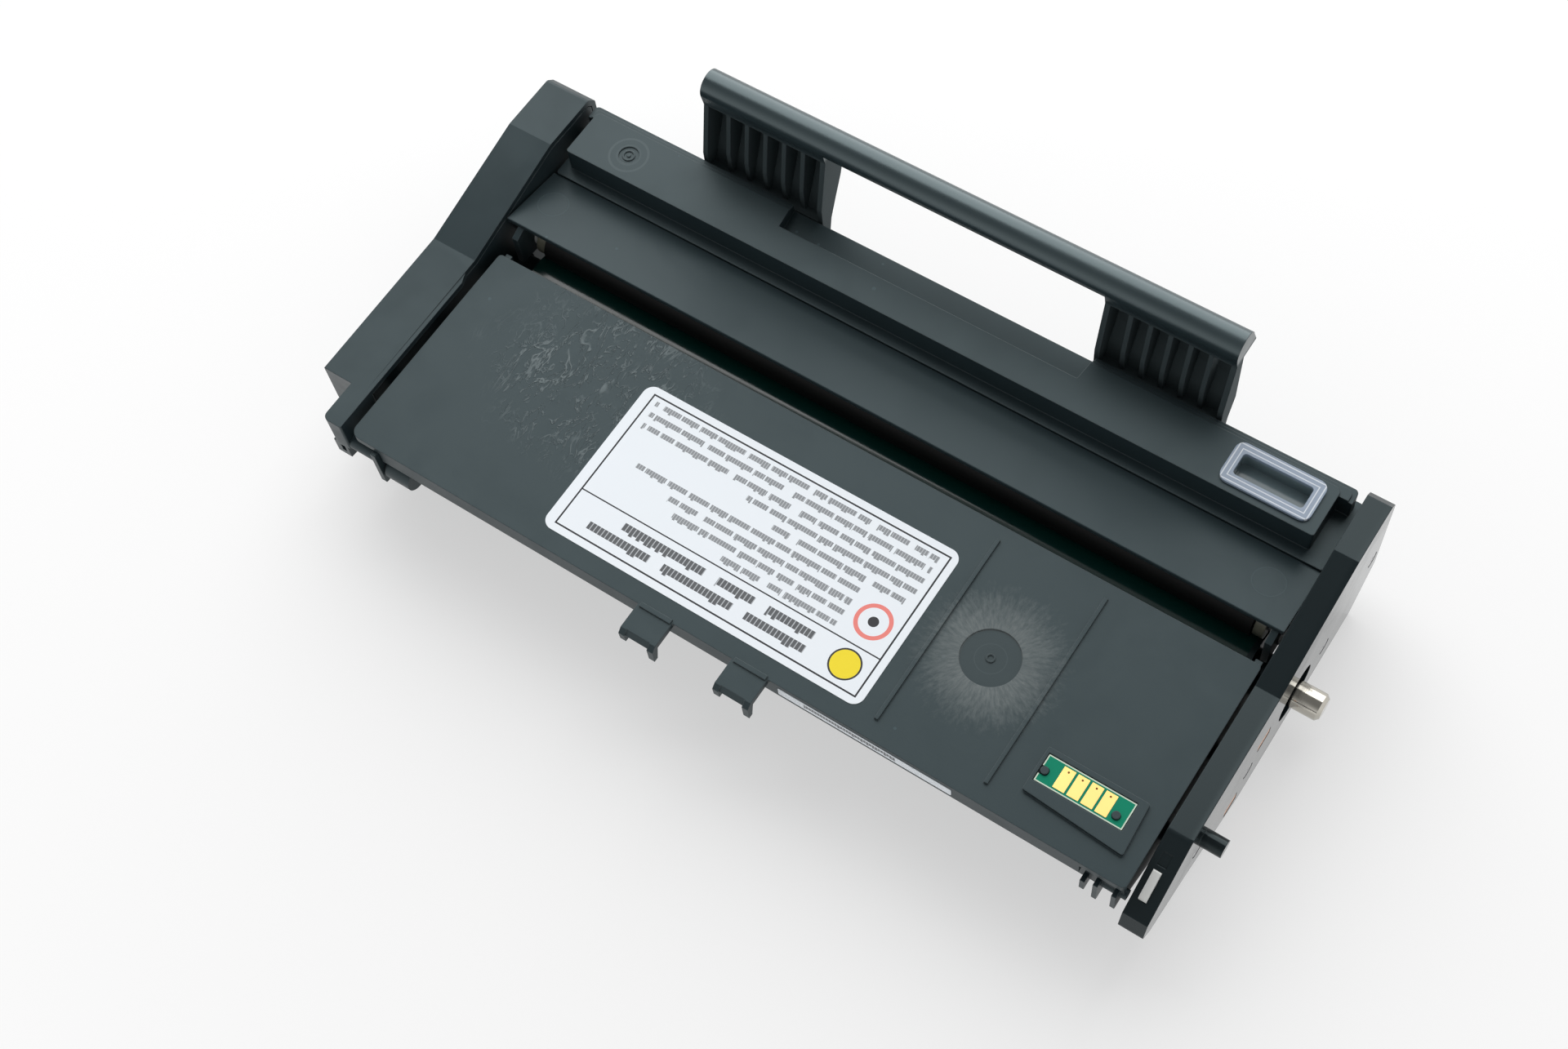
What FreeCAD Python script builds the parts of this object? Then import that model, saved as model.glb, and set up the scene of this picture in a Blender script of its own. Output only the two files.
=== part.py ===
import FreeCAD, Part
import math
import os

from FreeCAD import Placement, Rotation, Vector

# Toner cartridge: a front waste trough under a flat lid, a rear toner trough with a raised lid and a
# handle, and a drum between them. A wide drive cover holds them on the left, a narrow contact cover on
# the right.
# Lengths are in millimetres. X runs along the rollers, Y from the front hooks to the handle, Z is up.
# The origin is in the middle of the base, on the surface that the two end covers stand on.

# Sizes that the spreadsheet holds, with what each one is
SIZES = (
    ("lidLength", 246.0, "length of the flat front lid"),
    ("lidDepth", 70.0, "depth of the flat front lid"),
    ("lidLeft", -122.0, "left edge of the flat front lid"),
    ("lidBack", 5.5, "back edge of the flat front lid"),
    ("lidTop", 38.0, "upper face of the flat front lid"),
    ("lidWall", 2.2, "thickness of the flat front lid"),
    ("wall", 1.8, "general wall of the moulded shells"),
    ("driveSeam", 3.9, "from the lid's left edge to the open side of the drive cover"),
    ("gearRoom", 4.0, "from the outer gears to the outer face of the drive cover"),
    ("contactSeam", 1.2, "from the lid's right edge to the open side of the contact cover"),
    ("contactDepth", 7.1, "depth of the contact cover along the rollers"),
    ("axleRadius", 3.8, "radius of the drum axle inside the covers"),
    ("axleEndRadius", 4.0, "radius of the chrome end of the drum axle"),
    ("axleReach", 8.7, "how far the chrome end stands out of the contact cover"),
    ("drumRadius", 12.0, "radius of the drum"),
    ("drumY", 13.6, "drum axis across"),
    ("drumZ", 14.5, "drum axis height"),
    ("rollRadius", 6.5, "radius of the developer roller"),
    ("supplyRadius", 6.0, "radius of the supply roller"),
    ("chargeRadius", 4.5, "radius of the charge roller"),
    ("nip", 0.3, "clearance between neighbouring rollers"),
    ("running", 0.04, "radial clearance of a turning shaft"),
    ("toothModule", 0.8, "module of the gears"),
    ("gearWidth", 4.2, "face width of a gear"),
    ("pinRadius", 2.6, "radius of the plastic guide pin"),
    ("screwRadius", 1.5, "radius of a cover screw"),
    ("hopperTop", 47.3, "upper face of the raised lid"),
    ("flangeTop", 39.3, "upper face of the ledge round the raised lid"),
    ("barRadius", 4.5, "radius of the handle bar"),
    ("foilWall", 0.3, "thickness of a flexible film"),
    ("labelWall", 0.15, "thickness of a stuck sheet"),
    ("chipWall", 0.8, "thickness of the small board"),
)
SIZE = {alias: value for alias, value, _ in SIZES}

doc = FreeCAD.newDocument("toner_cartridge")
sheet = doc.addObject("Spreadsheet::Sheet", "Sizes")
for row, (alias, value, meaning) in enumerate(SIZES, start=1):
    sheet.set(f"A{row}", meaning)
    sheet.set(f"B{row}", str(value))
    sheet.setAlias(f"B{row}", alias)
doc.recompute()

NODES = {}

# Lines shared by several pieces
LID_LEFT = SIZE["lidLeft"]
LID_RIGHT = LID_LEFT + SIZE["lidLength"]
LID_BACK = SIZE["lidBack"]
LID_FRONT = LID_BACK - SIZE["lidDepth"]
LID_TOP = SIZE["lidTop"]
LID_BASE = LID_TOP - SIZE["lidWall"]
WALL = SIZE["wall"]
OVERHANG = 0.5
TROUGH_LEFT = LID_LEFT + OVERHANG
TROUGH_RIGHT = LID_RIGHT - OVERHANG
MIDDLE = (TROUGH_LEFT + TROUGH_RIGHT) / 2
TROUGH_WALL = 2.0
CHAMBER_LEFT = TROUGH_LEFT + TROUGH_WALL
CHAMBER_RIGHT = TROUGH_RIGHT - TROUGH_WALL
TUBE_LEFT = TROUGH_LEFT + 4.5
TUBE_RIGHT = TROUGH_RIGHT - 5.5
ROLL_LEFT = TROUGH_LEFT + 7.5
ROLL_RIGHT = TROUGH_RIGHT - 7.5
RUN = SIZE["running"]
FLOOR = 0.0

# Planes of the left end, from the open side of the cover outwards, with the gears between them
FRAME_WALL = 1.7
GEAR_WIDTH = SIZE["gearWidth"]
GEAR_GAP = 0.6
DRIVE_INNER = LID_LEFT - SIZE["driveSeam"]
FRAME_FACE = DRIVE_INNER - FRAME_WALL
NEAR_FACE = FRAME_FACE - 0.4
NEAR_PLANE = (NEAR_FACE - GEAR_WIDTH, NEAR_FACE)
FAR_PLANE = (NEAR_PLANE[0] - GEAR_GAP - GEAR_WIDTH, NEAR_PLANE[0] - GEAR_GAP)
DRIVE_OUTER = FAR_PLANE[0] - SIZE["gearRoom"]
AXLE_START = DRIVE_OUTER + 2.4

# Planes of the right end
CONTACT_INNER = LID_RIGHT + SIZE["contactSeam"]
CONTACT_OUTER = CONTACT_INNER + SIZE["contactDepth"]
AXLE_END = CONTACT_OUTER + SIZE["axleReach"]

# Roller and gear axes in the cross-section, found from the drum outwards
DRUM = (SIZE["drumY"], SIZE["drumZ"])


def polar(centre, distance, degrees):
    """The point at a distance and an angle from a centre in the cross-section."""
    angle = math.radians(degrees)
    return (centre[0] + distance * math.cos(angle), centre[1] + distance * math.sin(angle))


def meeting(first, first_distance, second, second_distance):
    """The upper point that lies at a given distance from each of two axes."""
    span = math.dist(first, second)
    along = (first_distance ** 2 - second_distance ** 2 + span ** 2) / (2 * span)
    across = math.sqrt(first_distance ** 2 - along ** 2)
    unit = ((second[0] - first[0]) / span, (second[1] - first[1]) / span)
    return (
        first[0] + along * unit[0] - across * unit[1],
        first[1] + along * unit[1] + across * unit[0],
    )


NIP = SIZE["nip"]
DEVELOPER = polar(DRUM, SIZE["drumRadius"] + SIZE["rollRadius"] + NIP, 66.0)
SUPPLY = polar(DEVELOPER, SIZE["rollRadius"] + SIZE["supplyRadius"] + NIP, -28.0)
CHARGE = polar(DRUM, SIZE["drumRadius"] + SIZE["chargeRadius"] + NIP, 135.0)
AGITATOR = (46.0, 19.5)
STIR_REACH = math.dist(SUPPLY, AGITATOR) - SIZE["supplyRadius"] - 2 * NIP

# Teeth: the centre distances of the drum, developer and supply gears come from the roller sizes above
MODULE = SIZE["toothModule"]
DEVELOPER_TEETH = 19
DRUM_TEETH = round(2 * math.dist(DRUM, DEVELOPER) / MODULE - 0.2) - DEVELOPER_TEETH
TEETH = {
    "drum": DRUM_TEETH,
    "developer": DEVELOPER_TEETH,
    "idler": 13,
    "supply": 15,
    "wheel": 18,
    "pinion": 12,
    "agitator": 28,
}


def pitch_radius(name):
    """Pitch radius of a gear."""
    return MODULE * TEETH[name] / 2


def centres(first, second):
    """Centre distance of two gears in mesh."""
    return pitch_radius(first) + pitch_radius(second)


IDLER = meeting(DEVELOPER, centres("developer", "idler"), SUPPLY, centres("idler", "supply"))
COMPOUND = meeting(IDLER, centres("idler", "wheel"), AGITATOR, centres("pinion", "agitator"))


def corner_points(points):
    """Each corner of a closed outline with its neighbours."""
    count = len(points)
    return [(points[index - 1], points[index], points[(index + 1) % count]) for index in range(count)]


def outline(points, radius=0.0):
    """Edges of a closed outline, with its corners rounded. A dictionary of radii rounds single corners."""
    starts = []
    ends = []
    arcs = []
    for index, (before, corner, after) in enumerate(corner_points(points)):
        size = radius.get(index, 0.0) if isinstance(radius, dict) else radius
        here = Vector(corner[0], corner[1], 0)
        to_before = (Vector(before[0], before[1], 0) - here).normalize()
        to_after = (Vector(after[0], after[1], 0) - here).normalize()
        if size <= 0:
            starts.append(here)
            ends.append(here)
            continue
        half = to_before.getAngle(to_after) / 2
        reach = size / math.tan(half)
        middle = (to_before + to_after).normalize()
        centre = here + middle * (size / math.sin(half))
        first = here + to_before * reach
        last = here + to_after * reach
        starts.append(first)
        ends.append(last)
        arcs.append(Part.Arc(first, centre - middle * size, last))
    edges = list(arcs)
    for index in range(len(points)):
        edges.append(Part.LineSegment(ends[index], starts[(index + 1) % len(points)]))
    return edges


def box(left, bottom, right, top, radius=0.0):
    """Edges of a rectangle with rounded corners."""
    return outline([(left, bottom), (right, bottom), (right, top), (left, top)], radius)


def ring(centre, radius):
    """One circle."""
    return [Part.Circle(Vector(centre[0], centre[1], 0), Vector(0, 0, 1), radius)]


def inset(points, distance):
    """The outline moved inwards by a distance, for points that run clockwise along the plane's normal."""
    moved = []
    for before, corner, after in corner_points(points):
        first = Vector(corner[0] - before[0], corner[1] - before[1], 0).normalize()
        second = Vector(after[0] - corner[0], after[1] - corner[1], 0).normalize()
        first_in = Vector(first.y, -first.x, 0)
        second_in = Vector(second.y, -second.x, 0)
        bisector = (first_in + second_in).normalize()
        reach = distance / bisector.dot(first_in)
        moved.append((corner[0] + bisector.x * reach, corner[1] + bisector.y * reach))
    return moved


def gear_outline(name, phase):
    """Edges of a spur gear around the origin, with straight-sided teeth and working backlash."""
    count = TEETH[name]
    pitch = pitch_radius(name)
    tip = pitch + 0.78 * MODULE
    root = pitch - 1.0 * MODULE
    step = 2 * math.pi / count
    root_half = 0.27 * step
    tip_half = 0.10 * step
    points = []
    for tooth in range(count):
        middle = phase + tooth * step
        for radius, turn in ((root, -root_half), (tip, -tip_half), (tip, tip_half), (root, root_half)):
            angle = middle + turn
            points.append((radius * math.cos(angle), radius * math.sin(angle)))
    return outline(points)


def mesh_phase(driver, driver_phase, driven, driver_axis, driven_axis):
    """The angle that puts a tooth space of the driven gear on a tooth of the driving gear."""
    angle = math.atan2(driven_axis[1] - driver_axis[1], driven_axis[0] - driver_axis[0])
    driver_step = 2 * math.pi / TEETH[driver]
    driven_step = 2 * math.pi / TEETH[driven]
    return angle + math.pi - driven_step * ((driver_phase - angle) / driver_step + 0.5)


def origin_plane(body, role):
    """The body's own origin plane with a given role."""
    for feature in body.Origin.OriginFeatures:
        if feature.Role == role:
            return feature
    raise ValueError(role)


def new_body(label, axis=None):
    """A body for one piece, moved to its axis when it is a turned piece."""
    body = doc.addObject("PartDesign::Body", label)
    body.Label = label
    if axis is not None:
        body.Placement = Placement(Vector(0, axis[0], axis[1]), Rotation())
    NODES[label] = body
    return body


def new_sketch(body, name, role, offset, loops):
    """A sketch on an origin plane, moved along the plane's normal."""
    sketch = body.newObject("Sketcher::SketchObject", name)
    sketch.AttachmentSupport = [(origin_plane(body, role), "")]
    sketch.MapMode = "FlatFace"
    sketch.AttachmentOffset = Placement(Vector(0, 0, offset), Rotation())
    for loop in loops:
        sketch.addGeometry(loop, False)
    return sketch


def pad(body, name, role, low, high, loops, length=None):
    """A pad between two heights of a plane's axis. The name of a size can drive its length."""
    offset = -high if role == "XZ_Plane" else low
    sketch = new_sketch(body, name + "Sketch", role, offset, loops)
    feature = body.newObject("PartDesign::Pad", name)
    feature.Profile = sketch
    feature.Length = high - low
    if length is not None:
        feature.setExpression("Length", length)
    sketch.Visibility = False
    return feature


def cut(body, name, role, low, high, loops, length=None):
    """A pocket between two heights of a plane's axis."""
    offset = -low if role == "XZ_Plane" else high
    sketch = new_sketch(body, name + "Sketch", role, offset, loops)
    feature = body.newObject("PartDesign::Pocket", name)
    feature.Profile = sketch
    feature.Length = high - low
    if length is not None:
        feature.setExpression("Length", length)
    sketch.Visibility = False
    return feature


def turned(body, name, profile):
    """A turned piece: its half profile of along and radius, revolved about the body's X axis."""
    sketch = new_sketch(body, name + "Sketch", "XY_Plane", 0.0, [outline(profile)])
    feature = body.newObject("PartDesign::Revolution", name)
    feature.Profile = sketch
    feature.ReferenceAxis = (sketch, ["H_Axis"])
    feature.Angle = 360.0
    sketch.Visibility = False
    return feature


def tie_axis(body, across, height):
    """Bind a turned piece to the sheet's own axis position."""
    body.setExpression("Placement.Base.y", across)
    body.setExpression("Placement.Base.z", height)


def cylinder(name, radius, start, length, axis):
    """A round bar along X. The radius is a number or the name of a size."""
    bar = doc.addObject("Part::Cylinder", name)
    if isinstance(radius, str):
        bar.setExpression("Radius", radius)
    else:
        bar.Radius = radius
    bar.Height = length
    bar.Placement = Placement(Vector(start, axis[0], axis[1]), Rotation(Vector(0, 1, 0), 90))
    return bar


def block(name, low, high):
    """A box between two corners."""
    shape = doc.addObject("Part::Box", name)
    shape.Length = high[0] - low[0]
    shape.Width = high[1] - low[1]
    shape.Height = high[2] - low[2]
    shape.Placement = Placement(Vector(*low), Rotation())
    return shape


def joined(name, kind, base, tool):
    """One boolean of two objects."""
    result = doc.addObject(kind, name)
    result.Base = base
    result.Tool = tool
    return result


def several(label, pieces):
    """One node that holds several separate pieces of the same kind."""
    group = doc.addObject("Part::Compound", label)
    group.Label = label
    group.Links = pieces
    NODES[label] = group
    return group


# Side profile of the end covers, clockwise when seen from the right end
FOLD_FRONT = (-1.0, 39.8)
FOLD_BACK = (38.7, 49.2)
COVER_BACK = 60.0
REAR_PROFILE = [
    FOLD_FRONT,
    FOLD_BACK,
    (57.3, 49.0),
    (COVER_BACK, 46.4),
    (COVER_BACK, 13.0),
    (49.0, FLOOR),
    (-14.0, FLOOR),
]
COVER_FRONT = LID_FRONT + 12.5
COVER_TOP = 39.5
DRIVE_PROFILE = [(COVER_FRONT, 20.0), (COVER_FRONT, COVER_TOP)] + REAR_PROFILE
NOSE_TIP = LID_FRONT - 3.7
NOSE_TOP = LID_FRONT + 18.5
CONTACT_PROFILE = (
    [(NOSE_TIP + 4.2, 17.0), (NOSE_TIP, 21.5), (NOSE_TIP + 1.7, 27.5), (NOSE_TOP, COVER_TOP)]
    + REAR_PROFILE
    + [(NOSE_TIP + 23.2, 12.0)]
)

# Places of the cover screws in the cross-section
FRONT_SCREW_ROW = LID_FRONT + 24.5
DRIVE_SCREWS = [(55.6, 31.5), (30.8, 12.0), (-12.0, 14.0), (FRONT_SCREW_ROW, 28.0)]
CONTACT_SCREWS = [(55.4, 22.0), (30.8, 12.0), (-12.0, 14.0), (FRONT_SCREW_ROW, 20.0)]
PILLAR = 2.6
METERING_SCREW_ROW = 32.6
METERING_SCREWS = (TROUGH_LEFT + 41.5, MIDDLE, TROUGH_RIGHT - 41.5)
HEAD_RADIUS = 2.4
HEAD_SINK = 1.0
HEAD_HEIGHT = 0.9

# Shield between the slot and the raised lid: its upper face runs down to the ledge
SHIELD_FRONT = (14.5, 42.5)
SHIELD_BACK = (36.5, 38.6)
SHIELD_WALL = 1.5


def shield_under(across):
    """Height of the shield's underside at a place across."""
    slope = (SHIELD_BACK[1] - SHIELD_FRONT[1]) / (SHIELD_BACK[0] - SHIELD_FRONT[0])
    drop = SHIELD_WALL * math.hypot(1.0, slope)
    return SHIELD_FRONT[1] + slope * (across - SHIELD_FRONT[0]) - drop


# Chip, its frame and its two heat-staked pins
CHIP = (LID_RIGHT - 33.2, LID_FRONT + 12.5, LID_RIGHT - 8.1, LID_FRONT + 20.5)
CHIP_SEAT = LID_TOP + 0.2
CHIP_PINS = [(CHIP[0] + 1.2, CHIP[1] + 3.4), (CHIP[2] - 3.0, CHIP[1] + 2.6)]
CHIP_PIN_RADIUS = 1.1

HOOKS = [(MIDDLE - 23.7, MIDDLE - 12.5), (MIDDLE + 6.5, MIDDLE + 17.8)]
SKIRT_BASE = 31.4
SKIRT_WALL = 1.3
EDGE_LABEL = (MIDDLE + 20.8, 32.7, MIDDLE + 73.4, 36.3)
MAIN_LABEL = (MIDDLE - 60.2, LID_FRONT + 5.6, MIDDLE + 41.9, LID_BACK - 13.0)


def build_waste_cover():
    """The flat front lid with its skirt, ribs, gate mark, chip frame and two hooks."""
    body = new_body("waste_cover")
    corners = {0: 3.0, 1: 1.4, 2: 1.2, 3: 1.2}
    plate = box(LID_LEFT, LID_FRONT, LID_RIGHT, LID_BACK, corners)
    pad(body, "Plate", "XY_Plane", LID_BASE, LID_TOP, [plate], "Sizes.lidWall")
    skirt = box(LID_LEFT + 10.0, LID_FRONT, LID_RIGHT - 12.6, LID_FRONT + SKIRT_WALL)
    pad(body, "Skirt", "XY_Plane", SKIRT_BASE, LID_BASE, [skirt])
    rib_half = 0.55
    rib_height = 0.7
    rib_places = (MAIN_LABEL[2] + 5.6, CHIP[0] - 9.7)
    ribs = [box(x - rib_half, LID_FRONT + 5.5, x + rib_half, LID_BACK - 4.3) for x in rib_places]
    pad(body, "Ribs", "XY_Plane", LID_TOP, LID_TOP + rib_height, ribs)
    gate = (sum(rib_places) / 2 - 0.5, LID_BACK - 34.4)
    cut(body, "GateDish", "XY_Plane", LID_TOP - 0.35, LID_TOP, [ring(gate, 8.2)])
    pad(body, "GateStub", "XY_Plane", LID_TOP - 0.35, LID_TOP - 0.05, [ring(gate, 1.3), ring(gate, 0.8)])
    frame = outline([
        (CHIP[0] - 1.2, CHIP[1] - 3.6),
        (CHIP[2] + 3.5, CHIP[1] - 5.6),
        (CHIP[2] + 2.7, CHIP[3] + 1.7),
        (CHIP[0] - 1.2, CHIP[3] + 1.7),
    ], 0.6)
    pad(body, "ChipFrame", "XY_Plane", LID_TOP, LID_TOP + 1.2, [frame])
    seat = box(CHIP[0] - 0.2, CHIP[1] - 0.2, CHIP[2] + 0.2, CHIP[3] + 0.2)
    cut(body, "ChipSeat", "XY_Plane", CHIP_SEAT, LID_TOP + 1.2, [seat])
    pins = [ring(centre, CHIP_PIN_RADIUS) for centre in CHIP_PINS]
    pad(body, "ChipPins", "XY_Plane", CHIP_SEAT, LID_TOP + 1.6, pins)
    tip = LID_FRONT - 9.5
    arm = [
        (LID_FRONT, 36.0),
        (tip + 2.4, 36.0),
        (tip + 1.2, 35.0),
        (tip + 0.6, 36.2),
        (tip + 1.8, LID_TOP),
        (LID_FRONT, LID_TOP),
    ]
    leg = [
        (tip + 2.4, 36.0),
        (tip + 1.4, 31.4),
        (tip, 31.4),
        (tip, 36.6),
        (tip + 1.6, LID_TOP),
        (tip + 3.0, LID_TOP),
    ]
    leg_width = 1.9
    short_leg = [
        (tip + 2.4, 36.0),
        (tip + 1.7, 33.2),
        (tip + 0.3, 33.2),
        (tip + 0.2, 36.6),
        (tip + 1.6, LID_TOP),
        (tip + 3.0, LID_TOP),
    ]
    for index, (left, right) in enumerate(HOOKS):
        pad(body, f"HookArm{index}", "YZ_Plane", left, right, [outline(arm)])
        pad(body, f"HookLong{index}", "YZ_Plane", right - leg_width, right, [outline(leg)])
        pad(body, f"HookShort{index}", "YZ_Plane", left, left + leg_width, [outline(short_leg)])
        rib = box(left + 0.8, LID_FRONT - 0.6, right - 0.4, LID_FRONT + 0.8)
        pad(body, f"HookRib{index}", "XY_Plane", LID_TOP, LID_TOP + 0.5, [rib])


def build_labels():
    """The stuck sheets on the lid and on its skirt, and the chip with its gold pads."""
    body = new_body("info_label")
    sheet_wall = SIZE["labelWall"]
    field = box(*MAIN_LABEL, 3.2)
    pad(body, "Sheet", "XY_Plane", LID_TOP, LID_TOP + sheet_wall, [field], "Sizes.labelWall")
    body = new_body("edge_label")
    front = LID_FRONT - sheet_wall
    pad(body, "Strip", "XZ_Plane", front, LID_FRONT, [box(*EDGE_LABEL, 0.5)], "Sizes.labelWall")
    body = new_body("chip_board")
    top = CHIP_SEAT + SIZE["chipWall"]
    pad(body, "Board", "XY_Plane", CHIP_SEAT, top, [box(*CHIP)], "Sizes.chipWall")
    slack = CHIP_PIN_RADIUS + 0.12
    left_pin, right_pin = CHIP_PINS
    side = CHIP[0] - 1.0
    notch = box(side, left_pin[1] - slack, left_pin[0] + slack, left_pin[1] + slack, {1: 1.0, 2: 1.0})
    cut(body, "PinHoles", "XY_Plane", CHIP_SEAT, top, [notch, ring(right_pin, slack)])
    pads = []
    for index in range(4):
        left = CHIP[0] + 4.9 + 4.0 * index
        low = (left, CHIP[1] + 0.8, top)
        high = (left + 3.3, CHIP[3] - 0.8, top + 0.08)
        pads.append(block(f"GoldPad{index}", low, high))
        pads[-1].setExpression("Placement.Base.z", "Sizes.lidTop + 0.2 + Sizes.chipWall")
    several("chip_contacts", pads)


def build_waste_hopper():
    """The front trough, with the arms that hold the charge roller and the small front ribs."""
    body = new_body("waste_hopper")
    back = -4.0
    shelf = 10.4
    front = LID_FRONT + 1.3
    section = [
        (front, LID_BASE),
        (back, LID_BASE),
        (back, 5.5),
        (-6.0, 3.5),
        (-20.0, 3.5),
        (front + 3.2, 23.5),
        (front, 27.0),
    ]
    pad(body, "Trough", "YZ_Plane", TROUGH_LEFT, TROUGH_RIGHT, [outline(section)])
    inner = [
        (front + 1.8, LID_BASE + 1.0),
        (-5.8, LID_BASE + 1.0),
        (-5.8, 17.0),
        (back + 1.0, 17.0),
        (back + 1.0, shelf),
        (-17.5, shelf),
        (-17.5, 5.3),
        (-19.6, 5.3),
        (front + 4.2, 25.2),
        (front + 1.8, 27.8),
    ]
    cut(body, "Chamber", "YZ_Plane", CHAMBER_LEFT, CHAMBER_RIGHT, [outline(inner)])
    arm = [(back - 0.5, 16.0), (0.0, 16.0), (7.5, 21.0), (7.5, LID_BASE), (back - 0.5, LID_BASE)]
    for name, low in (("LeftArm", TROUGH_LEFT), ("RightArm", CHAMBER_RIGHT)):
        pad(body, name, "YZ_Plane", low, low + TROUGH_WALL, [outline(arm)])
    for name, low, high in (
        ("LeftGuide", CHAMBER_LEFT, CHAMBER_LEFT + GUIDE_WIDTH),
        ("RightGuide", CHAMBER_RIGHT - GUIDE_WIDTH, CHAMBER_RIGHT),
    ):
        rails = [outline(rail) for rail in guide_rails()]
        pad(body, name, "YZ_Plane", low - 0.5, high + 0.5, rails)
    recess = box(TROUGH_LEFT - 1.0, 20.0, TROUGH_LEFT + 12.5, SKIRT_BASE + 6.0)
    cut(body, "CornerRecess", "XZ_Plane", LID_FRONT, front + 1.3, [recess])
    pegs = [
        (LID_LEFT - 2.6, LID_LEFT + 8.0, front + 0.8, 28.6, 2.4),
        (LID_LEFT + 10.0, LID_LEFT + 18.4, front + 1.8, 25.2, 4.2),
        (LID_RIGHT - 6.5, LID_RIGHT + 0.4, front + 0.8, 29.0, 1.5),
    ]
    for index, (low, high, across, height, radius) in enumerate(pegs):
        pad(body, f"Peg{index}", "YZ_Plane", low, high, [ring((across, height), radius)])
    left_screws = [ring(place, SIZE["screwRadius"]) for place in DRIVE_SCREWS[2:]]
    cut(body, "LeftScrewBores", "YZ_Plane", TROUGH_LEFT - 0.5, CHAMBER_LEFT + 0.5, left_screws)
    right_screws = [ring(place, SIZE["screwRadius"]) for place in CONTACT_SCREWS[2:]]
    cut(body, "RightScrewBores", "YZ_Plane", CHAMBER_RIGHT - 0.5, TROUGH_RIGHT + 0.5, right_screws)
    ribs = [
        (LID_LEFT + 7.8, LID_LEFT + 9.4, 20.6, 35.6),
        (LID_RIGHT - 11.4, LID_RIGHT - 10.1, 25.0, 31.0),
        (LID_RIGHT - 7.8, LID_RIGHT - 6.5, 23.0, 33.0),
        (LID_RIGHT - 2.6, LID_RIGHT - 1.3, 24.0, 33.0),
    ]
    for index, (low, high, foot, top) in enumerate(ribs):
        rib = box(front - 2.8, foot, front + 2.2, top, {0: 0.8})
        pad(body, f"FrontRib{index}", "YZ_Plane", low, high, [rib])


def turned_frame(along, across):
    """A point given along and across the line from the charge roller to the drum."""
    reach = math.dist(CHARGE, DRUM)
    unit = ((DRUM[0] - CHARGE[0]) / reach, (DRUM[1] - CHARGE[1]) / reach)
    return (
        CHARGE[0] + along * unit[0] - across * unit[1],
        CHARGE[1] + along * unit[1] + across * unit[0],
    )


BEARING_HALF = 3.6
BEARING_WIDTH = 3.5
GUIDE_WIDTH = BEARING_WIDTH - 0.2
SPRING_SEAT = 6.5


def guide_rails():
    """Two rails and a back stop round each charge roller bearing."""
    inner = BEARING_HALF + 0.05
    outer = inner + 1.3
    corners = ((-4.5, inner), (3.4, inner), (3.4, outer), (-4.5, outer))
    side = [turned_frame(along, across) for along, across in corners]
    other = [turned_frame(along, -across) for along, across in corners]
    stop = [
        turned_frame(-SPRING_SEAT - 1.4, -3.0),
        turned_frame(-SPRING_SEAT, -3.0),
        turned_frame(-SPRING_SEAT, 3.0),
        turned_frame(-SPRING_SEAT - 1.4, 3.0),
    ]
    return [side, other, stop]


def build_charge_roller():
    """The charge roller with its shaft, sliding bearings and springs."""
    shaft = new_body("charge_shaft", CHARGE)
    radius = 2.75
    turned(shaft, "Shaft", [
        (CHAMBER_LEFT + 0.5, 0.0),
        (CHAMBER_RIGHT - 0.5, 0.0),
        (CHAMBER_RIGHT - 0.5, radius),
        (CHAMBER_LEFT + 0.5, radius),
    ])
    roll = new_body("charge_roll", CHARGE)
    outer = SIZE["chargeRadius"]
    rubber = [ring((0, 0), outer), ring((0, 0), radius)]
    pad(roll, "Rubber", "YZ_Plane", ROLL_LEFT + 1.0, ROLL_RIGHT - 1.0, rubber)
    bearings = []
    springs = []
    ends = (("Left", CHAMBER_LEFT), ("Right", CHAMBER_RIGHT - BEARING_WIDTH))
    for side, low in ends:
        high = low + BEARING_WIDTH
        half = BEARING_HALF
        corner = [turned_frame(a, b) for a, b in ((-3.4, -half), (3.4, -half), (3.4, half), (-3.4, half))]
        wire = Part.makePolygon([Vector(low, y, z) for y, z in corner + corner[:1]])
        blank = doc.addObject("Part::Feature", f"{side}BearingFace")
        blank.Shape = Part.Face(wire)
        solid = doc.addObject("Part::Extrusion", f"{side}BearingBlank")
        solid.Base = blank
        solid.Dir = Vector(1, 0, 0)
        solid.LengthFwd = high - low
        solid.Solid = True
        bore = cylinder(f"{side}BearingBore", radius + RUN, low - 1.0, high - low + 2.0, CHARGE)
        bearings.append(joined(f"{side}Bearing", "Part::Cut", solid, bore))
        springs.append(coil(f"{side}Spring", (low + high) / 2))
    several("charge_bearings", bearings)
    several("charge_springs", springs)


def coil(name, along):
    """A small pressure spring of square wire between a bearing and its stop, as a many-sided helix."""
    start = 3.4
    length = SPRING_SEAT - start - 0.02
    turns = 3.5
    sides = 9
    radius = 1.35
    wire = 0.42
    reach = math.dist(CHARGE, DRUM)
    unit = Vector(0, (DRUM[0] - CHARGE[0]) / reach, (DRUM[1] - CHARGE[1]) / reach)
    across = Vector(0, -unit.z, unit.y)
    foot = Vector(along, CHARGE[0], CHARGE[1]) - unit * (start + wire / 2)
    count = int(turns * sides)
    points = []
    for step in range(count + 1):
        angle = 2 * math.pi * step / sides
        rise = (length - wire) * step / count
        ray = across * (radius * math.cos(angle)) + Vector(1, 0, 0) * (radius * math.sin(angle))
        points.append(foot + ray - unit * rise)
    path = Part.makePolygon(points)
    start_ray = points[1] - points[0]
    section = Part.makePolygon(square_section(points[0], start_ray, wire))
    shape = Part.Wire(path).makePipeShell([Part.Wire(section)], True, True, 1)
    spring = doc.addObject("Part::Feature", name)
    spring.Shape = shape
    return spring


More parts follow.
